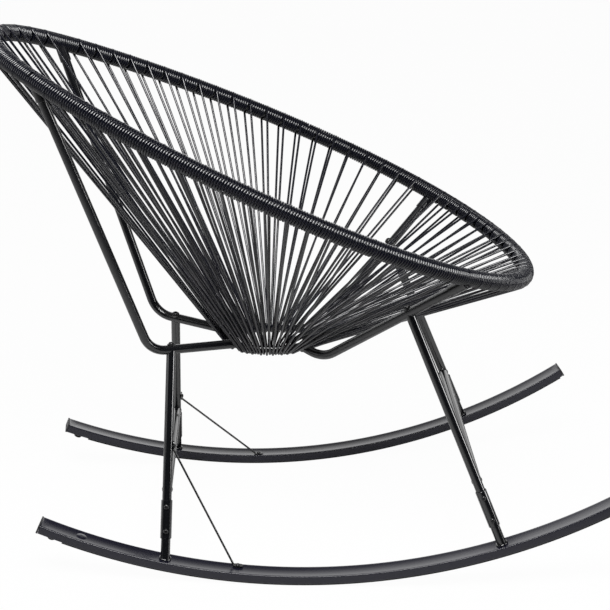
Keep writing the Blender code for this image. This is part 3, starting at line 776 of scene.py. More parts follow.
@dataclass
class Hoop(Loop):
    """The egg shaped hoop of the seat, in a plane that falls towards the front."""

    stock_radius: float = 0.010
    knots: int = 240
    fineness: int = 3
    centre_x: float = -0.1144
    centre_z: float = 0.7246
    fall: float = math.radians(24.2)
    half_length: float = 0.4896
    length_egg: float = 0.0962
    half_width: float = 0.2866
    width_egg: float = 0.0843
    squareness: float = 0.0108

    @property
    def normal(self) -> Vector:
        """The upward normal of the hoop's plane."""
        return Vector((math.sin(self.fall), 0.0, math.cos(self.fall)))

    def point(self, turn: float) -> Vector:
        """Find a point of the middle line.

        Args:
            turn: the turn; 0 is the front.

        Returns:
            The point.
        """
        along = self.half_length * math.cos(turn) + self.length_egg * math.cos(2 * turn)
        wide = self.half_width * math.sin(turn) + self.width_egg * math.sin(2 * turn)
        wide += self.squareness * math.sin(3 * turn)
        x = self.centre_x + along * math.cos(self.fall)
        z = self.centre_z - along * math.sin(self.fall)
        return Vector((x, wide, z)) + self.shift

    def turn_at(self, angle: float, ring: SeatRing) -> float:
        """Find the turn that lies at an angle from the front, seen from the ring's middle.

        Args:
            angle: the angle.
            ring: the ring.

        Returns:
            The turn.
        """
        def is_before(turn: float) -> bool:
            """Tell whether a turn lies before the angle."""
            point = self.point(turn)
            return math.atan2(point.y, point.x - ring.centre.x) < angle

        return bisect(is_before, 0.0, math.pi)

    def build(self) -> None:
        """Make the bent tube inside the winding."""
        dress(self.stock("rim_core"), Coat.TUBE, "rim_tube")


@dataclass
class Spoke:
    """A bent tube from the ring out and up to the hoop, with the socket that holds it there."""

    end: End
    side: Side
    hoop: Hoop
    ring: SeatRing
    tube_radius: float = 0.008
    angles: dict = table({End.REAR: math.radians(155.3), End.FRONT: math.radians(40.0)})
    runs: dict = table({End.REAR: 0.2288, End.FRONT: 0.1147})
    rises: dict = table({End.REAR: 0.0131, End.FRONT: -0.0112})
    bends: dict = table({End.REAR: 0.045, End.FRONT: 0.060})
    drops: dict = table({End.REAR: 0.0, End.FRONT: 0.010})
    leg_radii: dict = table({End.REAR: 0.1905, End.FRONT: 0.292})
    bend_steps: int = 14
    weld_offset: float = 0.0006
    weld_radius: float = 0.0016
    socket_length: float = 0.036
    socket_radius: float = 0.0096
    socket_wall: float = 0.0013
    socket_bevels: Four = (0.0003, 0.0003, 0.0004, 0.0005)
    socket_inset: float = 0.002

    def __post_init__(self) -> None:
        """Work out the line of the tube."""
        sign = self.side.value
        self.name = f"{self.end.value}_{self.side.word}"
        self.angle = self.angles[self.end]
        self.turn = self.hoop.turn_at(self.angle, self.ring) * sign
        self.outward = self.ring.direction(self.angle * sign)
        self.square = UP.cross(self.outward)
        self.inner = self.ring.point(self.ring.turn_at(self.angle * sign))
        self.corner = self.ring.centre + self.outward * self.runs[self.end] + UP * self.rises[self.end]
        span = self.hoop.point(self.turn) - self.corner
        lower = math.asin(self.drops[self.end] / span.length)
        ahead = span.normalized()
        self.level = (self.corner - self.inner).normalized()
        self.upward = ahead * math.cos(lower) - ahead.cross(self.square) * math.sin(lower)
        self.top = self.corner + self.upward * (span.length * math.cos(lower))
        self.bend = self.bends[self.end]
        self.bend_angle = self.level.angle(self.upward)
        self.bend_start = self.corner - self.level * (self.bend * math.tan(self.bend_angle / 2))
        self.lift = self.level.cross(self.square)
        self.bend_centre = self.bend_start + self.lift * self.bend

    def on_line(self, share: float) -> tuple[Vector, Vector]:
        """Return the point and direction of the middle line.

        Args:
            share: from 0 at the ring to 1 at the bend's start, 2 at its end and 3 at the hoop.

        Returns:
            The point and the direction there.
        """
        if share <= 1.0:
            return self.inner.lerp(self.bend_start, share), self.level
        turned = self.bend_angle * min(share - 1.0, 1.0)
        direction = self.level * math.cos(turned) + self.lift * math.sin(turned)
        point = self.bend_centre + (self.level * math.sin(turned) - self.lift * math.cos(turned)) * self.bend
        if share <= 2.0:
            return point, direction
        return point.lerp(self.top, share - 2.0), direction

    def leg_seat(self) -> tuple[Vector, Vector]:
        """Find where the leg is bolted.

        Returns:
            The point and direction of the middle line there.
        """
        def is_nearer(share: float) -> bool:
            """Tell whether a place lies nearer to the ring than the leg."""
            return (self.on_line(share)[0] - self.ring.centre).dot(self.outward) < self.leg_radii[self.end]

        return self.on_line(bisect(is_nearer, 0.0, 3.0))

    def outline(self, name: str, margin: float) -> Piece:
        """Make the bent tube.

        Args:
            name: the piece's name.
            margin: how much thicker it is than the real tube.

        Returns:
            The closed piece.
        """
        Bench.ring(name, basis(self.inner, self.level, self.square), self.tube_radius + margin)
        Bench.push(self.bend_start - self.inner)
        Bench.sweep(self.bend_angle, self.bend_centre, -self.square, self.bend_steps)
        Bench.push(self.top - self.on_line(2.0)[0])
        Bench.seal()
        return Bench.done()

    def build(self) -> None:
        """Make the tube, its weld on the ring and its socket."""
        tube = self.outline(f"spoke_{self.name}_tube", 0.0)
        foot = self.inner + self.level * (self.ring.stock_radius + self.weld_offset)
        weld = Bench.bead(basis(foot, self.level), self.tube_radius, self.weld_radius)
        dress(Bench.join(tube, weld), Coat.TUBE, f"spoke_{self.name}")

        place = basis(self.top - self.upward * self.socket_length, self.upward)
        profile = mouth(self.socket_radius - self.socket_wall, self.socket_radius, self.socket_bevels)
        profile.append((self.socket_radius, self.socket_length - self.socket_inset))
        socket = Bench.turn(f"rim_socket_{self.name}_collar", place, profile)
        dress(socket, Coat.TUBE, f"rim_socket_{self.name}")


@dataclass
class Rocker:
    """A bent box tube with its stubs, end caps, rubber strip and rear bumper."""

    side: Side
    shift: Vector
    spacing: float = 0.480
    toe_out: float = math.radians(4.6)
    radius: float = 1.078
    rear_length: float = 0.432
    front_length: float = 0.591
    width: float = 0.0345
    height: float = 0.015
    corner: float = 0.0014
    steps: int = 84
    smooth_angle: float = 30.0
    dish_depth: float = 0.0011
    dish_steps: tuple = ((0.0030, 0.36), (0.0035, 0.32), (0.0040, 0.23), (0.0035, 0.09))
    top_cosine: float = 0.995
    gap: float = 0.0003
    strip_thickness: float = 0.003
    strip_width: float = 0.029
    strip_corner: float = 0.0009
    strip_insets: Couple = (0.044, 0.006)
    cap_thickness: float = 0.003
    cap_lip: float = 0.0005
    cap_corner_steps: int = 4
    cap_rounding: tuple[float, int] = (0.0007, 3)
    bumper_radius: float = 0.0075
    bumper_height: float = 0.009
    bumper_inset: float = 0.024
    bumper_sides: int = 28
    plug_inset: float = 0.072
    plug_radius: float = 0.0088
    plug_sides: int = 40
    stub_radius: float = 0.008
    weld_offset: Couple = (0.0004, 0.0006)
    weld_radius: float = 0.0019

    def __post_init__(self) -> None:
        """Work out the plane of the arc."""
        toe = self.toe_out * self.side.value
        self.word = self.side.word
        self.forward = Vector((math.cos(toe), math.sin(toe), 0.0))
        self.across = UP.cross(self.forward)
        self.centre = Vector((0.0, self.side.value * self.spacing / 2, self.radius)) + self.shift
        self.middle = self.strip_thickness + self.gap + self.height / 2
        self.top = self.middle + self.height / 2
        self.rear = -self.rear_length / self.radius
        self.front = self.front_length / self.radius

    def inward(self, angle: float) -> Vector:
        """Return the direction from the arc to its centre."""
        return UP * math.cos(angle) - self.forward * math.sin(angle)

    def along(self, angle: float) -> Vector:
        """Return the forward direction along the arc."""
        return self.forward * math.cos(angle) + UP * math.sin(angle)

    def at(self, angle: float, depth: float, aside: float = 0.0) -> Vector:
        """Return the point at an angle to the front, so high above the rolling face and far to the left."""
        return self.centre - self.inward(angle) * (self.radius - depth) + self.across * aside

    def on_top(self, position: float, aside: float = 0.0) -> tuple[Vector, float]:
        """Return the point of the top face at a forward position, and the angle there."""
        angle = math.asin(position / (self.radius - self.top))
        return self.at(angle, self.top, aside), angle

    def bar(self, name: str, depth: float, size: Triple, start: float, end: float) -> Piece:
        """Make a bar that follows the arc.

        Args:
            name: the piece's name.
            depth: the height of its middle above the rolling face.
            size: its width, height and corner radius.
            start: the angle of its rear end.
            end: the angle of its front end.

        Returns:
            The closed piece.
        """
        Bench.frame(name, basis(self.at(start, depth), self.along(start), self.across), *size)
        Bench.sweep(end - start, self.centre, -self.across, self.steps)
        Bench.seal()
        return Bench.done(self.smooth_angle)

    def dish(self, piece: Piece) -> None:
        """Sink the top face of the tube a little, as bending leaves it.

        Args:
            piece: the tube.
        """
        Bench.pick(piece)
        bpy.ops.object.mode_set(mode="EDIT")
        bpy.ops.mesh.select_all(action="DESELECT")
        mesh = bmesh.from_edit_mesh(piece.data)
        for face in mesh.faces:
            towards = self.centre - face.calc_center_median()
            towards -= self.across * towards.dot(self.across)
            face.select_set(face.normal.dot(towards.normalized()) > self.top_cosine)
        for width, share in self.dish_steps:
            bpy.ops.mesh.inset(thickness=width, depth=-self.dish_depth * share, use_boundary=True)
        bpy.ops.object.mode_set(mode="OBJECT")
        Bench.smooth(piece, self.smooth_angle)

    def _stub(self, leg: Leg) -> None:
        """Make the stub under a leg, with its weld.

        Args:
            leg: the leg.
        """
        lower, wider = self.weld_offset
        foot = leg.foot + leg.down * (self.height / 2)
        stub = Bench.pipe(f"rocker_stub_{leg.spoke.name}", foot, leg.joint, self.stub_radius)
        seam = basis(leg.foot - leg.down * lower, self.inward(leg.foot_angle))
        weld = Bench.bead(seam, self.stub_radius + wider, self.weld_radius)
        dress(Bench.join(stub, weld), Coat.LEG)

    def _cap(self, end: End, angle: float, sign: float) -> None:
        """Make the plug of one end.

        Args:
            end: the end.
            angle: its angle.
            sign: 1 where the plug faces forwards, -1 where it faces backwards.
        """
        out = self.along(angle) * sign
        place = basis(self.at(angle, self.middle) + out * self.gap, out, self.across)
        size = (self.width + 2 * self.cap_lip, self.height + 2 * self.cap_lip, self.cap_thickness)
        corner = (self.corner, self.cap_corner_steps)
        cap = Bench.slab(f"rocker_cap_{end.value}_{self.word}_plate", place, size, corner, self.cap_rounding)
        dress(cap, Coat.CAP, f"rocker_cap_{end.value}_{self.word}")

    def _rubber(self) -> None:
        """Make the strip that rolls on the floor and the bumper behind it."""
        start = self.rear + self.strip_insets[0] / self.radius
        end = self.front - self.strip_insets[1] / self.radius
        size = (self.strip_width, self.strip_thickness, self.strip_corner)
        strip = self.bar(f"floor_strip_{self.word}_rubber", self.strip_thickness / 2, size, start, end)
        dress(strip, Coat.RUBBER, f"floor_strip_{self.word}")

        angle = self.rear + self.bumper_inset / self.radius
        wide, high = self.bumper_radius, self.bumper_height
        profile = [(wide * 0.96, 0.0), (wide, 0.0006), (wide, high * 0.55), (wide * 0.95, high * 0.74),
                   (wide * 0.82, high * 0.9), (wide * 0.6, high * 0.985), (wide * 0.34, high),
                   (wide * 0.28, high * 0.97), (wide * 0.28, high * 0.7)]
        place = basis(self.at(angle, self.strip_thickness), -self.inward(angle))
        bumper = Bench.turn(f"rear_bumper_{self.word}_foot", place, profile, self.bumper_sides)
        dress(bumper, Coat.RUBBER, f"rear_bumper_{self.word}")

    def _plug(self) -> None:
        """Make the flush round plug in the top face."""
        angle = self.rear + self.plug_inset / self.radius
        wide = self.plug_radius
        profile = [(wide * 0.97, -0.0020), (wide, -0.0012), (wide, -0.0007), (wide * 0.95, -0.0004),
                   (wide * 0.3, -0.0003)]
        place = basis(self.at(angle, self.top), self.inward(angle))
        dress(Bench.turn(f"rocker_plug_{self.word}", place, profile, self.plug_sides), Coat.ROCKER)

    def build(self, legs: list[Leg]) -> None:
        """Make the rocker and its trim.

        Args:
            legs: the two legs whose stubs stand on it.
        """
        size = (self.width, self.height, self.corner)
        tube = self.bar(f"rocker_{self.word}_tube", self.middle, size, self.rear, self.front)
        self.dish(tube)
        dress(tube, Coat.ROCKER, f"rocker_{self.word}")
        for leg in legs:
            self._stub(leg)
        self._cap(End.REAR, self.rear, -1.0)
        self._cap(End.FRONT, self.front, 1.0)
        self._rubber()
        if self.side is Side.RIGHT:
            self._plug()


@dataclass
class Leg:
    """A straight leg that is bolted under a spoke and sleeved to a rocker's stub."""

    spoke: Spoke
    rocker: Rocker
    tube_radius: float = 0.008
    gap: float = 0.0003
    feet: dict = table({End.REAR: -0.2065, End.FRONT: 0.360})
    sleeve_length: float = 0.065
    sleeve_radius: float = 0.0096
    sleeve_wall: float = 0.0013
    sleeve_bevels: Four = (0.0004, 0.0003, 0.0005, 0.0006)
    stub_showing: float = 0.033
    stretcher_above: float = 0.014
    bolt_inset: float = 0.012
    bolt_sunk: float = 0.0002

    def __post_init__(self) -> None:
        """Work out the line of the leg."""
        self.seat, self.spoke_line = self.spoke.leg_seat()
        self.foot, self.foot_angle = self.rocker.on_top(self.feet[self.spoke.end])
        self.down = (self.foot - self.seat).normalized()
        self.sleeve_end = self.foot - self.down * self.stub_showing
        self.sleeve_start = self.sleeve_end - self.down * self.sleeve_length
        self.joint = (self.sleeve_start + self.sleeve_end) / 2
        self.stretcher = self.sleeve_start - self.down * self.stretcher_above
        self.outside = self.square_to(Vector((0.0, self.spoke.side.value, 0.0)))
        self.ahead = self.square_to(AHEAD)

    def square_to(self, direction: Vector) -> Vector:
        """Return a direction turned square to the leg."""
        return (direction - self.down * direction.dot(self.down)).normalized()

    def build(self, crown: Piece, button: Piece) -> None:
        """Make the leg, its sleeve and its bolts.

        Args:
            crown: the bolt that holds a leg's top, modelled at the origin.
            button: a sleeve bolt, modelled at the origin.
        """
        name = self.spoke.name
        tube = Bench.pipe(f"leg_{name}_tube", self.seat, self.joint, self.tube_radius)
        Bench.cut(tube, self.spoke.outline("saddle", self.gap))
        dress(tube, Coat.LEG, f"leg_{name}")

        profile = mouth(self.sleeve_radius - self.sleeve_wall, self.sleeve_radius, self.sleeve_bevels)
        profile += [(radius, self.sleeve_length - height) for radius, height in reversed(profile)]
        sleeve = Bench.turn(f"leg_sleeve_{name}_tube", basis(self.sleeve_start, self.down), profile)
        dress(sleeve, Coat.LEG, f"leg_sleeve_{name}")
        out = self.outside * (self.sleeve_radius - self.bolt_sunk)
        for which, place in (("upper", self.sleeve_start + self.down * self.bolt_inset),
                             ("lower", self.sleeve_end - self.down * self.bolt_inset)):
            face = basis(place + out, self.outside, self.down)
            bolt = Bench.copy(button, f"sleeve_bolt_{which}_{name}_button", face)
            dress(bolt, Coat.BOLT, f"sleeve_bolt_{which}_{name}")

        bolt = Bench.copy(crown, f"leg_bolt_{name}_crown", basis(self.seat, -self.down, self.spoke_line))
        dress(bolt, Coat.BOLT, f"leg_bolt_{name}")


@dataclass
class Fasteners:
    """The bolts and screws, each modelled once at the origin along +Z."""

    tube_radius: float = 0.008
    drive_radius: float = 0.0021
    drive_depth: float = 0.0016
    drive_clear: float = 0.002
    saddle_reach: float = 0.02
    button_height: float = 0.0028
    head_sunk: float = 0.0012
    head_height: float = 0.0040

    def _drive(self, bolt: Piece, top: float) -> Piece:
        """Cut the six-sided drive into a bolt's head.

        Args:
            bolt: the bolt.
            top: the height of its head.

        Returns:
            The bolt.
        """
        low, high = UP * (top - self.drive_depth), UP * (top + self.drive_clear)
        Bench.cut(bolt, Bench.pipe("drive", low, high, self.drive_radius, 6))
        return bolt

    def button(self) -> Piece:
        """Return the button head bolt of a sleeve."""
        profile = [(0.0025, -0.004), (0.0025, 0.0), (0.0041, 0.0), (0.00425, 0.0003), (0.00425, 0.0009),
                   (0.0040, 0.0017), (0.0034, 0.0024), (0.0028, self.button_height),
                   (0.0010, self.button_height)]
        return self._drive(Bench.turn("button", Matrix(), profile, 28), self.button_height)

    def screw(self) -> Piece:
        """Return the dome head screw of a brace."""
        profile = [(0.0020, -0.0055), (0.0020, 0.0), (0.0036, 0.0), (0.00375, 0.0003), (0.0036, 0.0010),
                   (0.0031, 0.0017), (0.0022, 0.0022), (0.0011, 0.0024)]
        return Bench.turn("screw", Matrix(), profile, 24)

    def crown(self) -> Piece:
        """Make the bolt on top of a leg, with its washer.

        Returns:
            The bolt.
        """
        seat = self.tube_radius
        profile = [(0.0066, seat - 0.0028), (0.0070, seat - 0.0026), (0.0070, seat + 0.0010),
                   (0.0066, seat + 0.0013), (0.0030, seat + 0.0013)]
        washer = Bench.turn("washer", Matrix(), profile)
        reach = AHEAD * self.saddle_reach
        Bench.cut(washer, Bench.pipe("saddle", -reach, reach, self.tube_radius))
        foot = seat + self.head_sunk
        top = foot + self.head_height
        profile = [(0.0052, foot), (0.00525, foot + 0.0004), (0.0050, foot + 0.0016), (0.0043, foot + 0.0028),
                   (0.0032, foot + 0.0036), (0.0024, foot + 0.0039), (0.0010, top)]
        return Bench.join(washer, self._drive(Bench.turn("head", Matrix(), profile, 28), top))


@dataclass
class Stretcher:
    """The level tube between the two legs of one end."""

    left: Leg
    right: Leg
    tube_radius: float = 0.008
    leg_gap: float = 0.0002
    weld_offset: float = 0.0010
    weld_radius: float = 0.0013

    def build(self) -> None:
        """Make the tube with a weld bead at each leg."""
        end = self.left.spoke.end.value
        start, stop = self.right.stretcher, self.left.stretcher
        line = (stop - start).normalized()
        tube = Bench.pipe(f"stretcher_{end}_tube", start, stop, self.tube_radius)
        beads = []
        for leg, sign in ((self.right, 1.0), (self.left, -1.0)):
            Bench.cut(tube, Bench.pipe("leg", leg.seat, leg.joint, self.tube_radius + self.leg_gap))
            seam = leg.stretcher + line * (sign * (self.tube_radius + self.weld_offset))
            beads.append(Bench.bead(basis(seam, line), self.tube_radius, self.weld_radius))
        dress(Bench.join(tube, *beads), Coat.LEG, f"stretcher_{end}")


@dataclass
class Brace:
    """A thin rod from a rear leg to its rocker, flattened and screwed at both ends."""

    leg: Leg
    rocker: Rocker
    rod_radius: float = 0.0018
    rod_sides: int = 16
    rod_height: float = 0.7
    tab_size: Triple = (0.018, 0.010, 0.002)
    tab_corner: tuple[float, int] = (0.0048, 6)
    tab_rounding: tuple[float, int] = (0.0004, 2)
    on_leg: dict = table({Side.LEFT: 0.585, Side.RIGHT: 0.465})
    on_rocker: dict = table({Side.LEFT: -0.047, Side.RIGHT: -0.084})
    foot_inset: float = 0.0085
    gap: float = 0.0003

    def _tab(self, seat: Vector, normal: Vector, along: Vector) -> tuple[Piece, Vector]:
        """Make a flattened end.

        Args:
            seat: the middle of the face that it lies on.
            normal: the face's normal.
            along: the direction of its long side, to where the rod leaves.

        Returns:
            The tab and the point where the rod leaves it.
        """
        length, _, thickness = self.tab_size
        low = seat + normal * self.gap
        tab = Bench.slab("tab", basis(low, normal, along), self.tab_size, self.tab_corner, self.tab_rounding)
        return tab, low + normal * (thickness * self.rod_height) + along * (length / 2 - self.rod_radius)

    def build(self, screw: Piece) -> None:
        """Make the brace and its screws.

        Args:
            screw: a screw, modelled at the origin.
        """
        side, ahead = self.rocker.side, self.leg.ahead
        seat = self.leg.seat.lerp(self.leg.foot, self.on_leg[side]) + ahead * self.leg.tube_radius
        aside = -side.value * (self.rocker.width / 2 - self.foot_inset)
        foot, angle = self.rocker.on_top(self.on_rocker[side], aside)
        normal = self.rocker.inward(angle)
        upper, rod_top = self._tab(seat, ahead, self.leg.down)
        lower, rod_foot = self._tab(foot, normal, -self.rocker.along(angle))
        rod = Bench.pipe(f"brace_{side.word}_rod", rod_top, rod_foot, self.rod_radius, self.rod_sides)
        dress(Bench.join(rod, upper, lower), Coat.LEG, f"brace_{side.word}")
        lift = self.gap + self.tab_size[2]
        for which, place, out in (("upper", seat, ahead), ("lower", foot, normal)):
            name = f"brace_screw_{which}_{side.word}"
            dress(Bench.copy(screw, f"{name}_head", basis(place + out * lift, out)), Coat.SCREW, name)


@dataclass(frozen=True)
class Span:
    """A stretch between two spokes, as lengths along the hoop and the ring.

    The winding goes from first to last, the middles of the spokes. The pairs keep clear of the spokes: they
    go from low to high on the hoop, and from ring_low to ring_high on the ring.
    """

    first: float
    last: float
    low: float
    high: float
    ring_low: float
    ring_high: float


@dataclass
class Strings:
    """The string: wound round the hoop, and stretched in pairs to the ring and back."""

    hoop: Hoop
    ring: SeatRing
    spokes: dict
    radius: float = 0.0021
    fineness: int = 4
    gap: float = 0.0003
    pitch: float = 0.00433
    spacing: dict = table({"right": 0.0358, "front": 0.0265, "left": 0.0358, "rear": 0.0358})
    panels: dict = table({"right": 3, "front": 4, "left": 3, "rear": 2})
    points_per_turn: int = 20
    loop_steps: int = 8
    layer: float = 0.0013
    lift: float = 0.0008
    lift_angle: float = math.radians(110.0)
    fillet: float = 0.006

    def room(self, lean: float, radius: float, loop: Loop) -> float:
        """Return the half width that a tube takes up on a loop, with the cosine between them as lean."""
        wound = loop.stock_radius + self.gap + 2 * self.radius
        return (radius + wound * abs(lean)) / math.sqrt(1 - lean * lean) + 2 * self.gap

    def mark(self, spoke: Spoke) -> Four:
        """Measure where a spoke meets the hoop and the ring.

        Args:
            spoke: the spoke.

        Returns:
            Its place along the hoop and the half width that it takes up there, and the same for the ring.
        """
        tangent = self.hoop.tangent(spoke.turn)
        width = self.room(spoke.upward.dot(tangent), spoke.socket_radius, self.hoop)
        width += abs((spoke.top - self.hoop.point(spoke.turn)).dot(tangent))
        turn = self.ring.turn_at(spoke.angle * spoke.side.value)
        ring_width = self.room(spoke.outward.dot(self.ring.tangent(turn)), spoke.tube_radius, self.ring)
        return self.hoop.length_at(spoke.turn), width, self.ring.length_at(turn), ring_width

    def spans(self) -> dict[str, Span]:
        """Measure the four stretches between the spokes.

        Returns:
            The stretches by name, in the order of the panels.
        """
        corners = ((End.REAR, Side.RIGHT), (End.FRONT, Side.RIGHT), (End.FRONT, Side.LEFT),
                   (End.REAR, Side.LEFT))
        marks = [self.mark(self.spokes[corner]) for corner in corners]
        found = {}
        for k, name in enumerate(self.panels):
            first, width, ring_first, ring_width = marks[k]
            last, last_width, ring_last, ring_last_width = marks[(k + 1) % len(marks)]
            if last < first:
                last += self.hoop.length
                ring_last += self.ring.length
            found[name] = Span(first, last, first + width, last - last_width,
                               ring_first + ring_width, ring_last - ring_last_width)
        return found

    def wrap(self, loop: Loop, length: float, angle: float, rise: float) -> Vector:
        """Return a point of the string on a loop, at an angle round it and a rise above the first layer."""
        return loop.around(length, angle, loop.stock_radius + self.gap + self.radius + rise)

    def run(self, hoop_place: float, ring_place: float) -> Vector:
        """Return the way from a place on the hoop to a place on the ring."""
        return self.ring.station(ring_place)[0] - self.hoop.station(hoop_place)[0]

    def winding(self, start: Couple, end: Couple,
                rises: Couple) -> list[Vector]:
        """Return the points of turns round the hoop.

        Args:
            start: the place along the hoop and the angle where they begin.
            end: the place and the angle where they end.
            rises: how far the string is lifted at the start and at the end.

        Returns:
            The points, both ends among them.
        """
        count = max(2, round((end[1] - start[1]) / math.tau * self.points_per_turn))
        points = []
        for k in range(count + 1):
            share = k / count
            angle = start[1] + (end[1] - start[1]) * share
            length = start[0] + (end[0] - start[0]) * share
            rise = 0.0
            for amount, away in ((rises[0], angle - start[1]), (rises[1], end[1] - angle)):
                near = max(0.0, 1.0 - away / self.lift_angle)
                rise = max(rise, amount * near * near * (3 - 2 * near))
            points.append(self.wrap(self.hoop, length, angle, rise))
        return points

    def pair(self, hoop_place: float, ring_place: float, angle: float, ring_pitch: float,
             layer: float) -> list[Vector]:
        """Return the points of a pair: down to the ring, round it and back up.

        Args:
            hoop_place: the pair's place along the hoop.
            ring_place: its place along the ring.
            angle: the angle on the hoop where it leaves.
            ring_pitch: the distance between pairs along the ring.
            layer: how far its loop lies above the first layer on the ring.

        Returns:
            The points between the two points on the hoop.
        """
        ring_angle = self.ring.angle_of(ring_place, self.run(hoop_place, ring_place))
        leave = self.wrap(self.hoop, hoop_place - self.pitch / 4, angle, self.lift)
        back = self.wrap(self.hoop, hoop_place + self.pitch / 4, angle + math.pi, self.lift)
        loop = []
        for k in range(self.loop_steps + 1):
            share = k / self.loop_steps
            place = ring_place + ring_pitch * (share - 0.5) / 2
            loop.append(self.wrap(self.ring, place, ring_angle - math.pi / 2 + math.pi * share, layer))
        down = (loop[0] - leave).normalized()
        up = (back - loop[-1]).normalized()
        return [leave + down * self.fillet, loop[0] - down * self.fillet, *loop,
                loop[-1] + up * self.fillet, back - up * self.fillet]

    def panel(self, title: str, stretch: tuple, hoop_part: tuple, ring_part: tuple, each: int) -> float:
        """Make one panel as one line of string.

        Args:
            title: the frame's node that it stands for.
            stretch: the lengths along the hoop where its winding starts and ends.
            hoop_part: the start and the size of its share of the hoop.
            ring_part: the start and the size of its share of the ring.
            each: its number of pairs.

        Returns:
            The length of its string.
        """
        ring_pitch = ring_part[1] / each
        points: list[Vector] = []
        place, angle, rise = stretch[0], 0.0, 0.0
        for k in range(each):
            hoop_place = hoop_part[0] + hoop_part[1] * (k + 0.5) / each
            ring_place = ring_part[0] + ring_pitch * (k + 0.5)
            leave = self.hoop.angle_of(hoop_place, self.run(hoop_place, ring_place)) - math.pi / 2
            ahead = hoop_place - self.pitch / 4 - place
            if k == 0:
                angle = leave - math.tau * ahead / self.pitch
            else:
                turns = round((angle + math.tau * ahead / self.pitch - leave) / math.tau)
                leave += turns * math.tau
            points += self.winding((place, angle), (hoop_place - self.pitch / 4, leave), (rise, self.lift))
            points += self.pair(hoop_place, ring_place, leave, ring_pitch, self.layer * (k % 2))
            place, angle, rise = hoop_place + self.pitch / 4, leave + math.pi, self.lift
        last = angle + math.tau * (stretch[1] - place) / self.pitch
        points += self.winding((place, angle), (stretch[1], last), (rise, 0.0))
        dress(Bench.follow(f"{title}_line", points, self.radius, self.fineness), Coat.STRING, title)
        return sum((there - here).length for here, there in zip(points, points[1:]))

    def build(self) -> None:
        """Make all the panels."""
        total, pairs = 0.0, 0
        for name, span in self.spans().items():
            count = self.panels[name]
            each = max(1, round((span.high - span.low) / self.spacing[name] / count))
            step, ring_step = (span.high - span.low) / count, (span.ring_high - span.ring_low) / count
            for k in range(count):
                low, ring_low = span.low + step * k, span.ring_low + ring_step * k
                start = span.first if k == 0 else low
                end = span.last if k == count - 1 else span.low + step * (k + 1)
                title = f"seat_strings_{name}_{k + 1}"
                total += self.panel(title, (start, end), (low, step), (ring_low, ring_step), each)
                pairs += each
        LOG.info("string: %d pairs, %.1f m", pairs, total)


@dataclass(frozen=True)
class Lamp:
    """A soft box that faces a point, with its power in watts."""

    name: str
    place: Triple
    aim: Triple
    size: Couple
    power: float

    def build(self) -> None:
        """Hang the lamp."""
        data = bpy.data.lights.new(self.name, "AREA")
        data.shape = "RECTANGLE"
        data.size, data.size_y = self.size
        data.energy = self.power
        made = bpy.data.objects.new(self.name, data)
        bpy.context.scene.collection.objects.link(made)
        made.location = self.place
        made.rotation_euler = (Vector(self.aim) - Vector(self.place)).to_track_quat("-Z", "Y").to_euler()


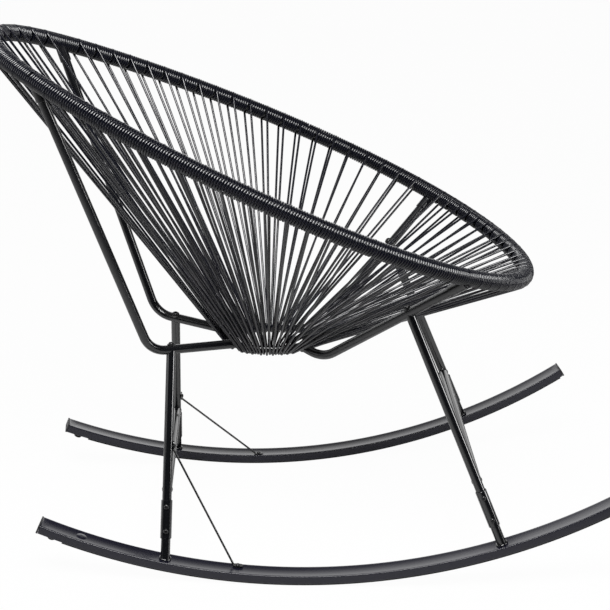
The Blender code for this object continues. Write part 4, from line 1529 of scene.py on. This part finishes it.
@dataclass
class Studio:
    """The floor, the light and the camera of the picture."""

    camera_place: Triple = (-0.0794, -2.5381, 1.3169)
    camera_turn: Triple = (math.radians(90 - 19.6229), 0.0, math.radians(-1.8184))
    lens: float = 90.55
    sensor_width: float = 36.0
    lamps: tuple[Lamp, ...] = (
        Lamp("top_box", (-0.2, -1.45, 2.4), (0.0, 0.0, 0.5), (1.5, 1.0), 122.0),
        Lamp("right_strip", (1.9, -0.5, 0.85), (-0.1, -0.1, 0.3), (0.45, 1.3), 20.0),
        Lamp("left_fill", (-2.2, -0.9, 1.3), (0.0, 0.0, 0.5), (1.0, 1.2), 6.0))
    white: Four = (1.0, 1.0, 1.0, 1.0)
    floor_height: float = -0.0006
    floor_size: float = 60.0
    floor_colour: Triple = (0.53, 0.53, 0.53)
    # painted shade: the floor's colour on the camera's side, darker in reflections and bounced light
    floor_front: Triple = (0.10, 0.10, 0.10)
    floor_fade: Couple = (-1.7, 0.0)
    floor_glow: float = 0.97
    floor_mirrored: float = 0.15
    room: float = 0.03
    backdrop: float = 1.75
    backdrop_slope: float = 1.15
    backdrop_lean: float = 0.5
    backdrop_edges: Couple = (0.0, 0.62)
    overhead: float = 0.25
    overhead_edges: Couple = (0.55, 0.95)

    def floor(self) -> None:
        """Lay the floor: seen white with a soft shadow; mirrored, with painted shade towards the camera."""
        Bench.clear()
        bpy.ops.mesh.primitive_plane_add(size=self.floor_size, location=(0.0, 0.0, self.floor_height))
        plane = bpy.context.object
        plane.name = "studio_floor"
        material = bpy.data.materials.new("pale_floor")
        graph = Graph(material)
        place = graph.node("ShaderNodeSeparateXYZ", None, {"Vector": graph.place("Object")})
        share = graph.fade(graph.out(place, "Y"), self.floor_fade)
        path = graph.node("ShaderNodeLightPath")
        mirrored = graph.out(path, "Is Glossy Ray") + graph.out(path, "Is Transmission Ray")
        seen = graph.out(path, "Is Camera Ray") * self.floor_glow + mirrored * share * self.floor_mirrored
        # the matte colour fades darker towards the camera: painted shade, seen only in reflections and
        # bounced light
        matte = graph.node("ShaderNodeBsdfDiffuse", None, {
            "Color": graph.blend(share, self.floor_front, self.floor_colour)})
        glow = graph.node("ShaderNodeEmission", None, {"Color": self.white, "Strength": 1.0})
        mixed = graph.node("ShaderNodeMixShader", None, {0: seen, 1: graph.out(matte), 2: graph.out(glow)})
        graph.node("ShaderNodeOutputMaterial", None, {"Surface": graph.out(mixed)})
        plane.data.materials.append(material)

    def world(self) -> None:
        """Give a white backdrop and soft light overhead, in a room that is dim on the camera's side."""
        world = bpy.data.worlds.new("studio_world")
        bpy.context.scene.world = world
        graph = Graph(world)
        towards = graph.node("ShaderNodeSeparateXYZ", None, {"Vector": graph.place("Generated")})
        right, back, up = (graph.out(towards, axis) for axis in "XYZ")
        facing = back - up * self.backdrop_slope - right * self.backdrop_lean
        around = graph.fade(facing, self.backdrop_edges, self.room, self.backdrop)
        around = around + graph.fade(up, self.overhead_edges, 0.0, self.overhead)
        seen = graph.out(graph.node("ShaderNodeLightPath"), "Is Camera Ray")
        strength = around + seen * (1.0 - around)
        sky = graph.node("ShaderNodeBackground", None, {"Color": self.white, "Strength": strength})
        graph.node("ShaderNodeOutputWorld", None, {"Surface": graph.out(sky)})

    def camera(self) -> None:
        """Set up the camera at the photo's angle."""
        data = bpy.data.cameras.new("photo_camera")
        data.lens = self.lens
        data.sensor_width = self.sensor_width
        camera = bpy.data.objects.new("photo_camera", data)
        bpy.context.scene.collection.objects.link(camera)
        camera.location = self.camera_place
        camera.rotation_euler = self.camera_turn
        bpy.context.scene.camera = camera
        bpy.context.scene.view_settings.view_transform = "Standard"

    def build(self) -> None:
        """Make the whole studio."""
        self.floor()
        self.world()
        for lamp in self.lamps:
            lamp.build()
        self.camera()


def main() -> None:
    """Load the frame, build the chair and the studio, and note the sizes."""
    logging.basicConfig(level=logging.INFO, format="%(message)s")
    for item in list(bpy.data.objects):
        bpy.data.objects.remove(item, do_unlink=True)
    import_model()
    low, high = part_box("seat_ring")
    shift = (low + high) / 2 - Vector((SeatRing.centre_x, 0.0, SeatRing.height))

    Studio().build()
    ring, hoop = SeatRing(shift), Hoop(shift)
    ring.build()
    hoop.build()
    spokes = {(end, side): Spoke(end, side, hoop, ring) for end in End for side in Side}
    rockers = {side: Rocker(side, shift) for side in Side}
    legs = {key: Leg(spoke, rockers[key[1]]) for key, spoke in spokes.items()}
    fasteners = Fasteners()
    crown, button, screw = fasteners.crown(), fasteners.button(), fasteners.screw()
    for key, spoke in spokes.items():
        spoke.build()
        legs[key].build(crown, button)
    for end in End:
        Stretcher(legs[end, Side.LEFT], legs[end, Side.RIGHT]).build()
    for side, rocker in rockers.items():
        rocker.build([legs[end, side] for end in End])
        Brace(legs[End.REAR, side], rocker).build(screw)
    for master in (crown, button, screw):
        bpy.data.objects.remove(master, do_unlink=True)
    Strings(hoop, ring, spokes).build()

    bpy.context.view_layer.update()


if __name__ == "__main__":
    main()
